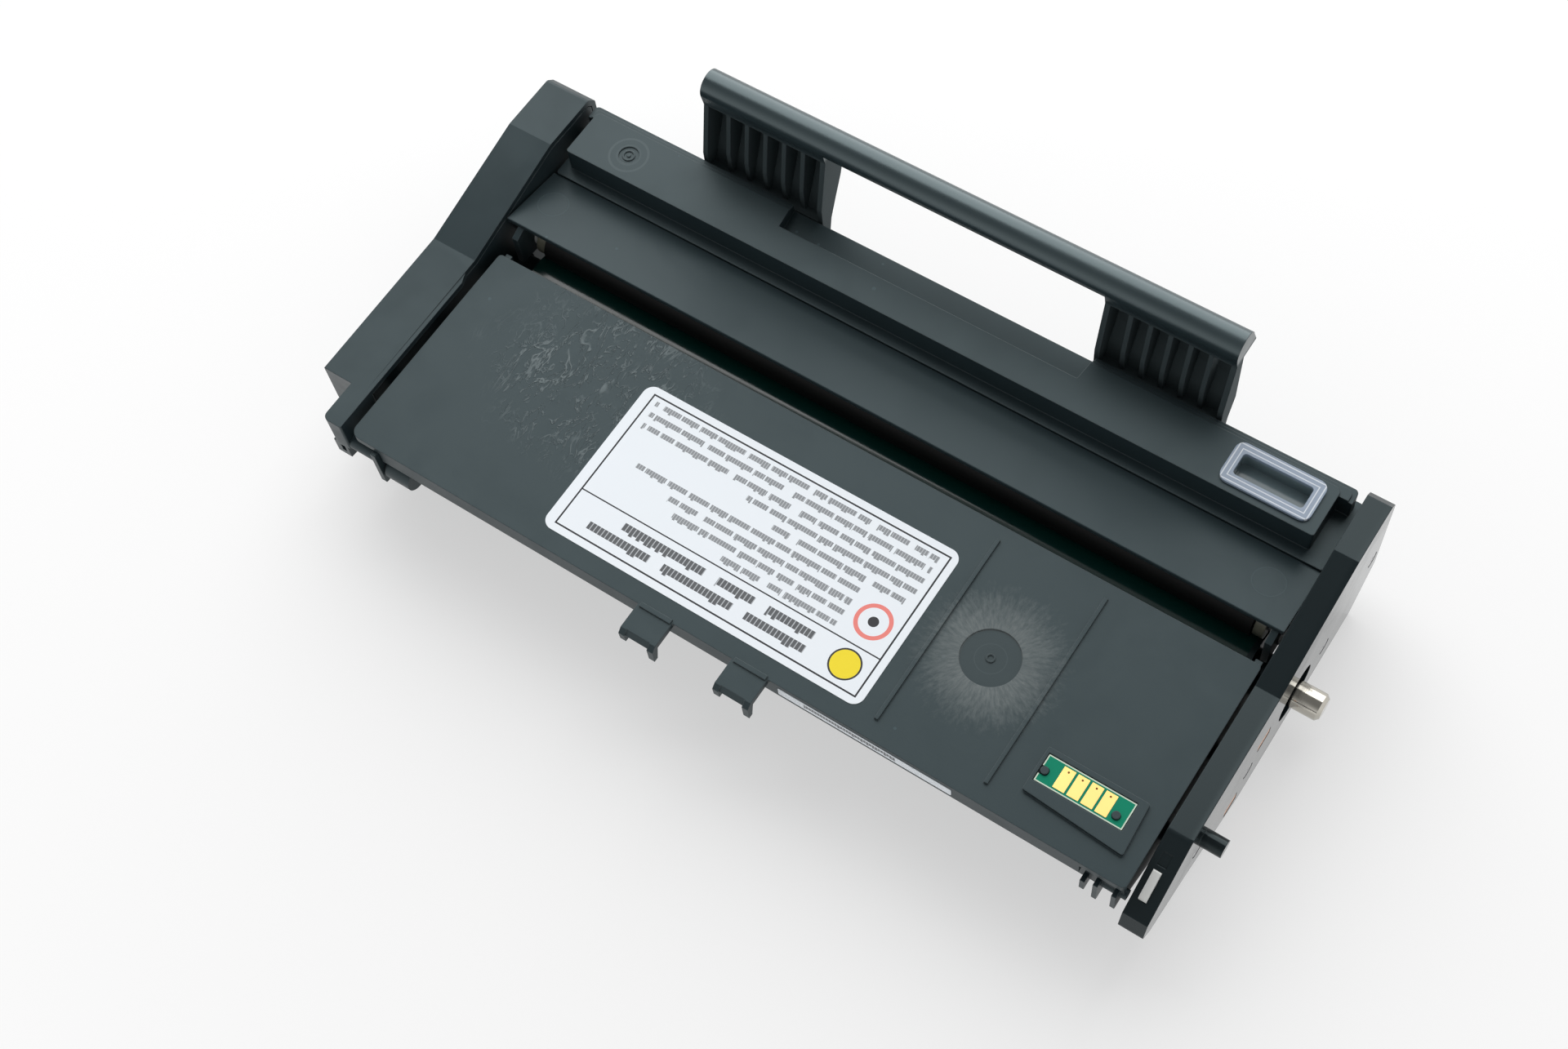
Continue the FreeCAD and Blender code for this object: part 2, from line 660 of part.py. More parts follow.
def square_section(centre, direction, size):
    """A closed square across a direction."""
    forward = Vector(direction).normalize()
    side = forward.cross(Vector(1, 0, 0)).normalize()
    other = forward.cross(side).normalize()
    half = size / 2
    corners = []
    for a, b in ((-1, -1), (1, -1), (1, 1), (-1, 1), (-1, -1)):
        corners.append(centre + side * (a * half) + other * (b * half))
    return corners


def build_cleaning():
    """The bracket, the wiping blade and the film under it."""
    left = ROLL_LEFT + 2.0
    right = ROLL_RIGHT - 2.0
    shelf = 10.4
    sheet_wall = 1.2
    bracket = new_body("blade_bracket")
    section = [
        (-17.2, shelf),
        (-3.5, shelf),
        (-3.5, shelf + sheet_wall),
        (-16.0, shelf + sheet_wall),
        (-16.0, 17.0),
        (-17.2, 17.0),
    ]
    pad(bracket, "Sheet", "YZ_Plane", left - 3.0, right + 3.0, [outline(section)])
    blade = new_body("cleaning_blade")
    tip = DRUM[0] - math.sqrt(SIZE["drumRadius"] ** 2 - 1.1 ** 2) - NIP - 0.05
    seat = shelf + sheet_wall
    pad(blade, "Strip", "YZ_Plane", left, right, [box(-7.5, seat, tip, seat + 1.8)])
    film = new_body("recovery_film")
    start = (-3.8, 5.2)
    foil = SIZE["foilWall"]
    end = (5.0, 4.4)
    section = [start, (end[0], end[1]), (end[0], end[1] + foil), (start[0] + 0.1, start[1] + foil)]
    pad(film, "Foil", "YZ_Plane", left, right, [outline(section)])


def build_drum():
    """The axle, the drum tube, its gear flange and its plain flange."""
    radius = SIZE["drumRadius"]
    inner = radius - 0.75
    axle_radius = SIZE["axleRadius"]
    axle = new_body("drum_axle", DRUM)
    end_radius = SIZE["axleEndRadius"]
    bevel = 1.0
    shoulder = CONTACT_OUTER - RECESS_DEPTH + 0.2
    profile = [
        (AXLE_START, 0.0),
        (AXLE_END, 0.0),
        (AXLE_END, end_radius - bevel),
        (AXLE_END - bevel, end_radius),
        (shoulder, end_radius),
        (shoulder, axle_radius),
        (AXLE_START, axle_radius),
    ]
    turned(axle, "Axle", profile)
    tie_axis(axle, "Sizes.drumY", "Sizes.drumZ")
    tube = new_body("drum_tube", DRUM)
    pad(tube, "Tube", "YZ_Plane", TUBE_LEFT, TUBE_RIGHT, [ring((0, 0), radius), ring((0, 0), inner)])
    tie_axis(tube, "Sizes.drumY", "Sizes.drumZ")
    bore = axle_radius + RUN
    stub = 6.5
    plug = 9.0
    rim = TUBE_RIGHT + 1.6
    gear = new_body("drum_gear", DRUM)
    near, far = NEAR_PLANE
    loops = [gear_outline("drum", GEAR_PHASE["drum"]), ring((0, 0), bore)]
    pad(gear, "Teeth", "YZ_Plane", near, far, loops, "Sizes.gearWidth")
    pad(gear, "Stub", "YZ_Plane", far, TUBE_LEFT, [ring((0, 0), stub), ring((0, 0), bore)])
    plug_loops = [ring((0, 0), inner), ring((0, 0), bore)]
    pad(gear, "Plug", "YZ_Plane", TUBE_LEFT, TUBE_LEFT + plug, plug_loops)
    flange = new_body("drum_flange", DRUM)
    plug_loops = [ring((0, 0), inner), ring((0, 0), bore)]
    pad(flange, "Plug", "YZ_Plane", TUBE_RIGHT - plug, TUBE_RIGHT, plug_loops)
    pad(flange, "Rim", "YZ_Plane", TUBE_RIGHT, rim, [ring((0, 0), radius), ring((0, 0), bore)])
    pad(flange, "Stub", "YZ_Plane", rim, CONTACT_INNER + 0.1, [ring((0, 0), stub), ring((0, 0), bore)])


def build_developer():
    """The developer roller, its collars and gear, the bushes, the metering blade and the end seals."""
    radius = 3.0
    shaft = new_body("developer_shaft", DEVELOPER)
    start = NEAR_PLANE[0] - 0.2
    end = CONTACT_INNER + 2.4
    turned(shaft, "Shaft", [(start, 0.0), (end, 0.0), (end, radius), (start, radius)])
    roll = new_body("developer_roll", DEVELOPER)
    rubber = [ring((0, 0), SIZE["rollRadius"]), ring((0, 0), radius)]
    pad(roll, "Rubber", "YZ_Plane", ROLL_LEFT, ROLL_RIGHT, rubber)
    collars = []
    for side, low in (("Left", ROLL_LEFT - 3.4), ("Right", ROLL_RIGHT + 0.4)):
        outer = cylinder(f"{side}CollarOuter", 5.6, low, 3.0, DEVELOPER)
        inner = cylinder(f"{side}CollarBore", radius, low - 1.0, 5.0, DEVELOPER)
        collars.append(joined(f"{side}Collar", "Part::Cut", outer, inner))
    several("developer_collars", collars)
    gear = new_body("developer_gear", DEVELOPER)
    phase = GEAR_PHASE["developer"]
    loops = [gear_outline("developer", phase), ring((0, 0), radius)]
    pad(gear, "Teeth", "YZ_Plane", *NEAR_PLANE, loops, "Sizes.gearWidth")
    several("developer_bushes", bushes("Developer", DEVELOPER, radius, 5.0))
    blade = new_body("metering_blade")
    leaf = 0.8
    face = DEVELOPER[0] + SIZE["rollRadius"] + NIP
    beam_top = 35.0
    section = [
        (face, 32.4),
        (face + leaf, 32.4),
        (face + leaf, beam_top),
        (37.2, beam_top),
        (37.2, beam_top + leaf),
        (face, beam_top + leaf),
    ]
    pad(blade, "Sheet", "YZ_Plane", ROLL_LEFT + 1.0, ROLL_RIGHT - 1.0, [outline(section)])
    screws = []
    for index, along in enumerate(METERING_SCREWS):
        place = (along, METERING_SCREW_ROW, beam_top + leaf)
        screws.append(upright_screw(f"MeteringScrew{index}", place, 2.4, 1.0, 2.4))
    several("metering_screws", screws)
    cut(blade, "ScrewHoles", "XY_Plane", beam_top - 0.5, beam_top + leaf + 0.5, [
        ring((along, METERING_SCREW_ROW), SIZE["screwRadius"]) for along in METERING_SCREWS
    ])
    seals = []
    seal = 1.6
    for side, low in (("Left", CHAMBER_LEFT), ("Right", CHAMBER_RIGHT - seal)):
        pad_shape = block(f"{side}Seal", (low, 27.6, 28.0), (low + seal, 33.0, 33.8))
        shaft_room = cylinder(f"{side}SealRoom", 5.6, low - 1.0, 4.0, DEVELOPER)
        supply_room = cylinder(f"{side}SealSupplyRoom", 4.6, low - 1.0, 4.0, SUPPLY)
        first = joined(f"{side}SealCut", "Part::Cut", pad_shape, shaft_room)
        seals.append(joined(f"{side}SealPiece", "Part::Cut", first, supply_room))
    several("end_seals", seals)


def upright_screw(name, place, head_radius, head_height, shank_length):
    """A screw that points down, with its head on a given place."""
    head = doc.addObject("Part::Cylinder", name + "Head")
    head.Radius = head_radius
    head.Height = head_height
    head.Placement = Placement(Vector(*place), Rotation())
    shank = doc.addObject("Part::Cylinder", name + "Shank")
    shank.setExpression("Radius", "Sizes.screwRadius - 0.02")
    shank.Height = shank_length + 0.2
    shank.Placement = Placement(Vector(place[0], place[1], place[2] - shank_length), Rotation())
    return joined(name, "Part::Fuse", head, shank)


def bushes(name, axis, radius, outer):
    """The two flanged bushes of one shaft in the end walls of the rear trough."""
    pieces = []
    flange = 1.0
    for side, wall_low in (("Left", TROUGH_LEFT), ("Right", CHAMBER_RIGHT)):
        outside = wall_low - flange if side == "Left" else wall_low + TROUGH_WALL
        length = TROUGH_WALL + 2 * flange
        sleeve = cylinder(f"{name}{side}Sleeve", outer - 1.0, wall_low - flange, length, axis)
        disc = cylinder(f"{name}{side}Disc", outer, outside, flange, axis)
        blank = joined(f"{name}{side}Blank", "Part::Fuse", sleeve, disc)
        bore = cylinder(f"{name}{side}Bore", radius + RUN, wall_low - 3.0, TROUGH_WALL + 6.0, axis)
        pieces.append(joined(f"{name}{side}Bush", "Part::Cut", blank, bore))
    return pieces


SUPPLY_SHAFT = 2.5
AGITATOR_SHAFT = 2.5


def build_supply():
    """The foam supply roller with its shaft, gear and bushes."""
    shaft = new_body("supply_shaft", SUPPLY)
    start = FAR_PLANE[0] - 0.2
    end = CONTACT_INNER + 0.8
    profile = [(start, 0.0), (end, 0.0), (end, SUPPLY_SHAFT), (start, SUPPLY_SHAFT)]
    turned(shaft, "Shaft", profile)
    roll = new_body("supply_roll", SUPPLY)
    foam = [ring((0, 0), SIZE["supplyRadius"]), ring((0, 0), SUPPLY_SHAFT)]
    pad(roll, "Foam", "YZ_Plane", ROLL_LEFT + 2.0, ROLL_RIGHT - 2.0, foam)
    gear = new_body("supply_gear", SUPPLY)
    loops = [gear_outline("supply", GEAR_PHASE["supply"]), ring((0, 0), SUPPLY_SHAFT)]
    pad(gear, "Teeth", "YZ_Plane", *FAR_PLANE, loops, "Sizes.gearWidth")
    several("supply_bushes", bushes("Supply", SUPPLY, SUPPLY_SHAFT, 4.4))


def build_agitator():
    """The stirring frame with its film, gear and bushes."""
    body = new_body("agitator", AGITATOR)
    start = NEAR_PLANE[0] - 0.2
    end = TROUGH_RIGHT + 1.5
    profile = [(start, 0.0), (end, 0.0), (end, AGITATOR_SHAFT), (start, AGITATOR_SHAFT)]
    turned(body, "Shaft", profile)
    half = 0.9
    left = ROLL_LEFT + 4.0
    right = ROLL_RIGHT - 4.0
    paddle = box(left, 1.0, right, STIR_REACH - 1.4)
    count = 6
    post = 4.0
    pitch = (right - left - post) / count
    windows = []
    for index in range(count):
        start = left + post + pitch * index
        windows.append(box(start, 3.4, start + pitch - post, STIR_REACH - 2.8))
    pad(body, "Paddle", "XZ_Plane", -half, half, [paddle] + windows)
    film = new_body("agitator_film", AGITATOR)
    foil = SIZE["foilWall"]
    strip = box(left + 2.0, STIR_REACH - 2.6, right - 2.0, STIR_REACH)
    pad(film, "Foil", "XZ_Plane", half, half + foil, [strip], "Sizes.foilWall")
    gear = new_body("agitator_gear", AGITATOR)
    loops = [gear_outline("agitator", GEAR_PHASE["agitator"]), ring((0, 0), AGITATOR_SHAFT)]
    pad(gear, "Teeth", "YZ_Plane", *NEAR_PLANE, loops, "Sizes.gearWidth")
    several("agitator_bushes", bushes("Agitator", AGITATOR, AGITATOR_SHAFT, 4.4))


POST = 2.0


def build_idlers():
    """The long idler gear and the stepped reduction gear on their posts."""
    body = new_body("idler_gear", IDLER)
    bore = ring((0, 0), POST + RUN)
    loops = [gear_outline("idler", GEAR_PHASE["idler"]), bore]
    pad(body, "Teeth", "YZ_Plane", FAR_PLANE[0], NEAR_PLANE[1], loops)
    body = new_body("compound_gear", COMPOUND)
    wheel = [gear_outline("wheel", GEAR_PHASE["wheel"]), ring((0, 0), POST + RUN)]
    pad(body, "Wheel", "YZ_Plane", *FAR_PLANE, wheel, "Sizes.gearWidth")
    pinion = [gear_outline("pinion", GEAR_PHASE["pinion"]), ring((0, 0), POST + RUN)]
    pad(body, "Pinion", "YZ_Plane", FAR_PLANE[1], NEAR_PLANE[1], pinion)


def build_toner_hopper():
    """The rear trough: floor, lip under the developer roller, beam for the metering blade and end walls."""
    body = new_body("toner_hopper")
    rim = 37.3
    beam_under = 33.8
    beam_top = 35.0
    beam_back = 39.3
    blade_face = DEVELOPER[0] + SIZE["rollRadius"] + NIP + 0.8
    section = [
        (11.0, 28.5),
        (11.0, 39.4),
        (14.5, shield_under(14.5)),
        (SHIELD_BACK[0], shield_under(SHIELD_BACK[0])),
        (37.0, rim),
        (59.5, rim),
        (59.5, 15.2),
        (51.2, 7.1),
        (37.2, 7.1),
        (30.2, 9.6),
        (27.0, 15.2),
        (25.6, 18.0),
        (23.5, 22.15),
        (22.0, 25.0),
        (20.0, 27.4),
    ]
    pad(body, "Trough", "YZ_Plane", TROUGH_LEFT, TROUGH_RIGHT, [outline(section)])
    inner = [
        (9.0, 42.0),
        (37.5, 42.0),
        (37.5, beam_top),
        (blade_face, beam_top),
        (blade_face, beam_under),
        (beam_back, beam_under),
        (beam_back, 42.0),
        (57.7, 42.0),
        (57.7, 16.0),
        (50.5, 8.9),
        (37.5, 8.9),
        (31.5, 11.0),
        (29.0, 15.6),
        (27.4, 18.8),
        (25.7, 21.2),
        (24.4, 23.6),
        (22.9, 22.6),
        (9.0, 22.0),
    ]
    cut(body, "Chamber", "YZ_Plane", CHAMBER_LEFT, CHAMBER_RIGHT, [outline(inner)])
    sleeves = [ring(DEVELOPER, 4.0), ring(SUPPLY, 3.4), ring(AGITATOR, 3.4)]
    cut(body, "LeftBores", "YZ_Plane", TROUGH_LEFT - 0.5, CHAMBER_LEFT + 0.5, sleeves)
    sleeves = sleeves + [ring(FILL, 4.6)]
    cut(body, "RightBores", "YZ_Plane", CHAMBER_RIGHT - 0.5, TROUGH_RIGHT + 0.5, sleeves)
    holes = [ring((along, METERING_SCREW_ROW), SIZE["screwRadius"]) for along in METERING_SCREWS]
    cut(body, "ScrewHoles", "XY_Plane", beam_under - 0.5, beam_top + 0.5, holes)
    left_screws = [ring(place, SIZE["screwRadius"]) for place in DRIVE_SCREWS[:2]]
    cut(body, "LeftScrewBores", "YZ_Plane", TROUGH_LEFT - 0.5, CHAMBER_LEFT + 0.5, left_screws)
    right_screws = [ring(place, SIZE["screwRadius"]) for place in CONTACT_SCREWS[:2]]
    cut(body, "RightScrewBores", "YZ_Plane", CHAMBER_RIGHT - 0.5, TROUGH_RIGHT + 0.5, right_screws)
    plug = new_body("fill_plug", FILL)
    turned(plug, "Plug", [
        (CHAMBER_RIGHT, 0.0),
        (TROUGH_RIGHT + 1.2, 0.0),
        (TROUGH_RIGHT + 1.2, 5.6),
        (TROUGH_RIGHT, 5.6),
        (TROUGH_RIGHT, 4.6),
        (CHAMBER_RIGHT, 4.6),
    ])


FILL = (46.0, 31.5)
RAISED = (TROUGH_LEFT - 0.4, 40.3, TROUGH_RIGHT - 4.7, 56.4)
HANDLE = (TROUGH_LEFT + 35.0, TROUGH_RIGHT - 41.5)
FINGERS = (HANDLE[0] + 41.0, HANDLE[1] - 39.0)
NOTCH = (FINGERS[0] - 8.0, FINGERS[1] + 0.3)
NOTCH_FRONT = 50.0
NOTCH_FLOOR = 43.2
WINDOW = (RAISED[2] - 29.3, RAISED[1] + 2.1, RAISED[2] - 3.0, RAISED[3] - 1.0)
WINDOW_RIM = 2.1


def build_hopper_lid():
    """The raised lid: ledge, hollow box, back steps, hand notch, window opening and gate mark."""
    body = new_body("hopper_lid")
    top = SIZE["hopperTop"]
    ledge = SIZE["flangeTop"]
    rim = 37.3
    left = LID_LEFT - 2.4
    right = LID_RIGHT + 0.6
    pad(body, "Ledge", "XY_Plane", rim, ledge, [box(left, 36.7, right, 59.5, 0.8)])
    pad(body, "Raised", "XY_Plane", ledge, top, [box(*RAISED, {0: 0.8, 1: 0.8, 2: 1.6, 3: 1.6})])
    for index, (side, back, height) in enumerate(((1.2, 57.7, 46.6), (2.4, 58.9, 45.9))):
        step = box(RAISED[0] - side, RAISED[3] - 2.0, RAISED[2] + 1.6 + side, back, {2: 1.4, 3: 1.4})
        pad(body, f"Step{index}", "XY_Plane", ledge, height, [step])
    notch = outline([
        (NOTCH[0], NOTCH_FRONT),
        (NOTCH[1], NOTCH_FRONT),
        (NOTCH[1] + 1.2, 61.0),
        (NOTCH[0] - 1.2, 61.0),
    ])
    cut(body, "HandNotch", "XY_Plane", NOTCH_FLOOR, top + 1.0, [notch])
    skin = 2.0
    inner_top = top - skin
    front = RAISED[1] + skin
    back = RAISED[3] - 1.4
    window_left = WINDOW[0] + WINDOW_RIM - 0.2
    window_right = WINDOW[2] - WINDOW_RIM + 0.2
    rooms = [
        box(RAISED[0] + skin, front, NOTCH[0] - 3.2, back),
        box(NOTCH[1] + 3.2, front, RAISED[2] - skin, back),
    ]
    cut(body, "EndRooms", "XY_Plane", rim - 1.0, inner_top, rooms)
    low_room = box(NOTCH[0] - 4.0, front, NOTCH[1] + 4.0, back)
    cut(body, "LowRoom", "XY_Plane", rim - 1.0, NOTCH_FLOOR - skin, [low_room])
    middle_room = box(NOTCH[0] - 4.0, front, NOTCH[1] + 4.0, NOTCH_FRONT - 1.8)
    cut(body, "MiddleRoom", "XY_Plane", rim - 1.0, inner_top, [middle_room])
    lip = WINDOW_RIM - 0.2
    opening = box(window_left, WINDOW[1] + lip, window_right, WINDOW[3] - lip, 1.2)
    cut(body, "WindowOpening", "XY_Plane", inner_top - 1.0, top + 1.0, [opening])
    gate = (RAISED[0] + 16.9, RAISED[1] + 8.0)
    cut(body, "GateDish", "XY_Plane", top - 0.35, top, [ring(gate, 3.0)])
    pad(body, "GateRing", "XY_Plane", top - 0.35, top - 0.05, [ring(gate, 1.9), ring(gate, 1.4)])
    pad(body, "GateStub", "XY_Plane", top - 0.35, top - 0.05, [ring(gate, 0.6)])
    window = new_body("sensor_window")
    rim_top = top + 0.9
    pad(window, "Rim", "XY_Plane", top, rim_top, [box(*WINDOW, 2.6)])
    tub = (WINDOW[0] + WINDOW_RIM, WINDOW[1] + WINDOW_RIM, WINDOW[2] - WINDOW_RIM, WINDOW[3] - WINDOW_RIM)
    pad(window, "Tub", "XY_Plane", top - 5.4, top, [box(*tub, 1.2)])
    room = 0.9
    inside = (tub[0] + room, tub[1] + room, tub[2] - room, tub[3] - room)
    cut(window, "Room", "XY_Plane", top - 4.4, rim_top, [box(*inside, 1.0)])


def build_shield():
    """The light panel between the slot and the raised lid."""
    body = new_body("slot_shield")
    slope = (SHIELD_BACK[1] - SHIELD_FRONT[1]) / (SHIELD_BACK[0] - SHIELD_FRONT[0])
    drop = SHIELD_WALL * math.hypot(1.0, slope)
    section = [
        SHIELD_FRONT,
        SHIELD_BACK,
        (SHIELD_BACK[0], SHIELD_BACK[1] - drop),
        (SHIELD_FRONT[0], SHIELD_FRONT[1] - drop),
    ]
    pad(body, "Panel", "YZ_Plane", LID_LEFT - 3.2, LID_RIGHT + 0.7, [outline(section, {0: 0.3})])


BAR = (67.2, 71.3)


def build_handle():
    """The round bar on two hollow uprights that open to the front, with upright ribs."""
    body = new_body("handle")
    radius = SIZE["barRadius"]
    foot = 24.0
    front = 59.8
    left, right = HANDLE
    upright = [
        (front, foot),
        (front, 48.0),
        (63.6, 66.0),
        polar(BAR, radius, 190.0),
        polar(BAR, radius, 10.0),
        (74.0, 66.4),
        (72.4, 61.0),
        (70.4, 54.0),
        (67.0, 46.5),
        (64.2, 40.0),
        (62.6, 32.0),
        (62.2, foot),
    ]
    pad(body, "Uprights", "YZ_Plane", left, right, [outline(upright)])
    gap = box(FINGERS[0], foot - 1.0, FINGERS[1], BAR[1] - radius)
    cut(body, "FingerGap", "XZ_Plane", front - 1.0, 76.0, [gap])
    pad(body, "Bar", "YZ_Plane", left, right, [ring(BAR, radius)])
    trim = [
        (front - 1.0, BAR[1] - radius - 1.0),
        (front - 1.0, BAR[1]),
        (BAR[0] - radius, BAR[1]),
        polar(BAR, radius, 200.0),
        polar(BAR, radius, 220.0),
        polar(BAR, radius, 240.0),
        polar(BAR, radius, 260.0),
        polar(BAR, radius, 280.0),
        polar(BAR, radius, 300.0),
        polar(BAR, radius, 320.0),
        polar(BAR, radius, 340.0),
        polar(BAR, radius, 360.0),
        (76.0, BAR[1]),
        (76.0, BAR[1] - radius - 1.0),
    ]
    cut(body, "BarUnder", "YZ_Plane", FINGERS[0], FINGERS[1], [outline(trim)])
    wall = 1.6
    for side, low, high in (("Left", left, FINGERS[0]), ("Right", FINGERS[1], right)):
        room = [
            (front - 1.0, 42.0),
            (front - 1.0, 66.0),
            (71.4, 66.0),
            (70.6, 61.0),
            (68.4, 54.0),
            (65.0, 46.5),
            (63.2, 42.0),
        ]
        cut(body, f"{side}Room", "YZ_Plane", low + wall, high - wall, [outline(room)])
        count = 5
        pitch = (high - low - 2 * wall) / (count + 1)
        rib_half = 0.7
        rib = [
            (61.6, 41.0),
            (61.6, 50.0),
            (64.6, 67.0),
            (72.0, 67.0),
            (71.2, 61.0),
            (69.0, 54.0),
            (65.6, 46.5),
            (63.4, 41.0),
        ]
        for index in range(count):
            middle = low + wall + pitch * (index + 1)
            pad(body, f"{side}Rib{index}", "YZ_Plane", middle - rib_half, middle + rib_half, [outline(rib)])
        seat = box(low + 4.0, foot + 1.0, high - 4.0, 35.0)
        pad(body, f"{side}Seat", "XZ_Plane", 59.5, front + 1.0, [seat])
    slope = outline([(right + 1.0, 66.5), (right + 1.0, 77.0), (right - 16.0, 77.0)])
    cut(body, "EndSlope", "XY_Plane", foot - 1.0, BAR[1] - radius, [slope])


def build_drive_cover():
    """The wide folded shell over the gears, with its front block and hook."""
    body = new_body("drive_cover")
    rounding = {2: 0.0, 4: 1.6, 5: 1.6}
    pad(body, "Shell", "YZ_Plane", DRIVE_OUTER, DRIVE_INNER, [outline(DRIVE_PROFILE, rounding)])
    inner = inset(DRIVE_PROFILE, WALL)
    cut(body, "Room", "YZ_Plane", DRIVE_OUTER + WALL, DRIVE_INNER + 1.0, [outline(inner)])
    window = box(NEAR_PLANE[0] - 0.6, DRUM[0] - 9.0, NEAR_PLANE[1] + 0.8, DRUM[0] + 9.0, 0.8)
    cut(body, "GearWindow", "XY_Plane", FLOOR - 1.0, WALL + 0.5, [window])
    strip_back = -9.0
    inner_edge = LID_LEFT - 2.6
    strip = outline([
        (DRIVE_INNER - 1.0, COVER_FRONT),
        (inner_edge, COVER_FRONT),
        (inner_edge, strip_back),
        (DRIVE_INNER - 0.2, strip_back + 4.0),
        (DRIVE_INNER - 1.0, strip_back + 4.0),
    ])
    pad(body, "TopLip", "XY_Plane", COVER_TOP - WALL, COVER_TOP, [strip])
    block_left = inner_edge - 6.5
    corner = box(block_left, LID_FRONT - 0.5, inner_edge, COVER_FRONT + 1.0, {0: 2.0, 1: 0.6})
    pad(body, "Block", "XY_Plane", 27.2, COVER_TOP, [corner])
    front = LID_FRONT
    hook = outline([(front - 0.3, 21.2), (front + 4.2, 20.6), (front + 6.8, 27.4), (front - 0.3, 27.4)])
    pad(body, "Hook", "YZ_Plane", block_left + 0.1, inner_edge - 1.6, [hook])
    slot = box(front - 1.5, 23.2, front + 2.7, 26.2)
    cut(body, "HookSlot", "YZ_Plane", block_left + 2.2, block_left + 3.8, [slot])
    pillars = [ring(place, PILLAR) for place in DRIVE_SCREWS]
    pad(body, "Pillars", "YZ_Plane", DRIVE_OUTER + WALL - 0.5, FRAME_FACE, pillars)
    pad(body, "AxleBoss", "YZ_Plane", DRIVE_OUTER + WALL - 0.5, NEAR_PLANE[0] - 0.6, [ring(DRUM, 6.4)])
    cut(body, "AxleSeat", "YZ_Plane", AXLE_START, NEAR_PLANE[0], [ring(DRUM, SIZE["axleRadius"])])
    holes = [ring(place, SIZE["screwRadius"]) for place in DRIVE_SCREWS]
    cut(body, "ScrewHoles", "YZ_Plane", DRIVE_OUTER - 1.0, FRAME_FACE + 1.0, holes)
    seats = [ring(place, HEAD_RADIUS + 0.1) for place in DRIVE_SCREWS]
    cut(body, "HeadSeats", "YZ_Plane", DRIVE_OUTER - 1.0, DRIVE_OUTER + HEAD_SINK, seats)


def build_drive_frame():
    """The inner plate that closes the gear room, with gear posts and spacers to the two troughs."""
    body = new_body("drive_frame")
    plate = inset(DRIVE_PROFILE, WALL + 0.3)
    holes = [
        ring(DRUM, 7.0),
        ring(DEVELOPER, 3.0 + RUN),
        ring(SUPPLY, SUPPLY_SHAFT + RUN),
        ring(AGITATOR, AGITATOR_SHAFT + RUN),
    ]
    pad(body, "Plate", "YZ_Plane", FRAME_FACE, DRIVE_INNER, [outline(plate)] + holes)
    spacers = [ring(place, PILLAR - 0.1) for place in DRIVE_SCREWS]
    pad(body, "Spacers", "YZ_Plane", DRIVE_INNER - 0.2, TROUGH_LEFT, spacers)
    posts = [ring(IDLER, POST), ring(COMPOUND, POST)]
    pad(body, "Posts", "YZ_Plane", FAR_PLANE[0] - 0.8, FRAME_FACE + 0.2, posts)
    screws = [ring(place, SIZE["screwRadius"]) for place in DRIVE_SCREWS]
    cut(body, "ScrewHoles", "YZ_Plane", FRAME_FACE - 1.0, TROUGH_LEFT + 1.0, screws)


GUIDE_PIN = (LID_FRONT + 26.3, 26.0)
GUIDE_PIN_REACH = 6.3
RECESS_RADIUS = 8.6
RECESS_DEPTH = 1.7
CONTACT_PADS = {"charge_contact": (-5.0, 21.0), "developer_contact": (-20.0, 7.0)}
CONTACT_HALF = (3.4, 2.2)


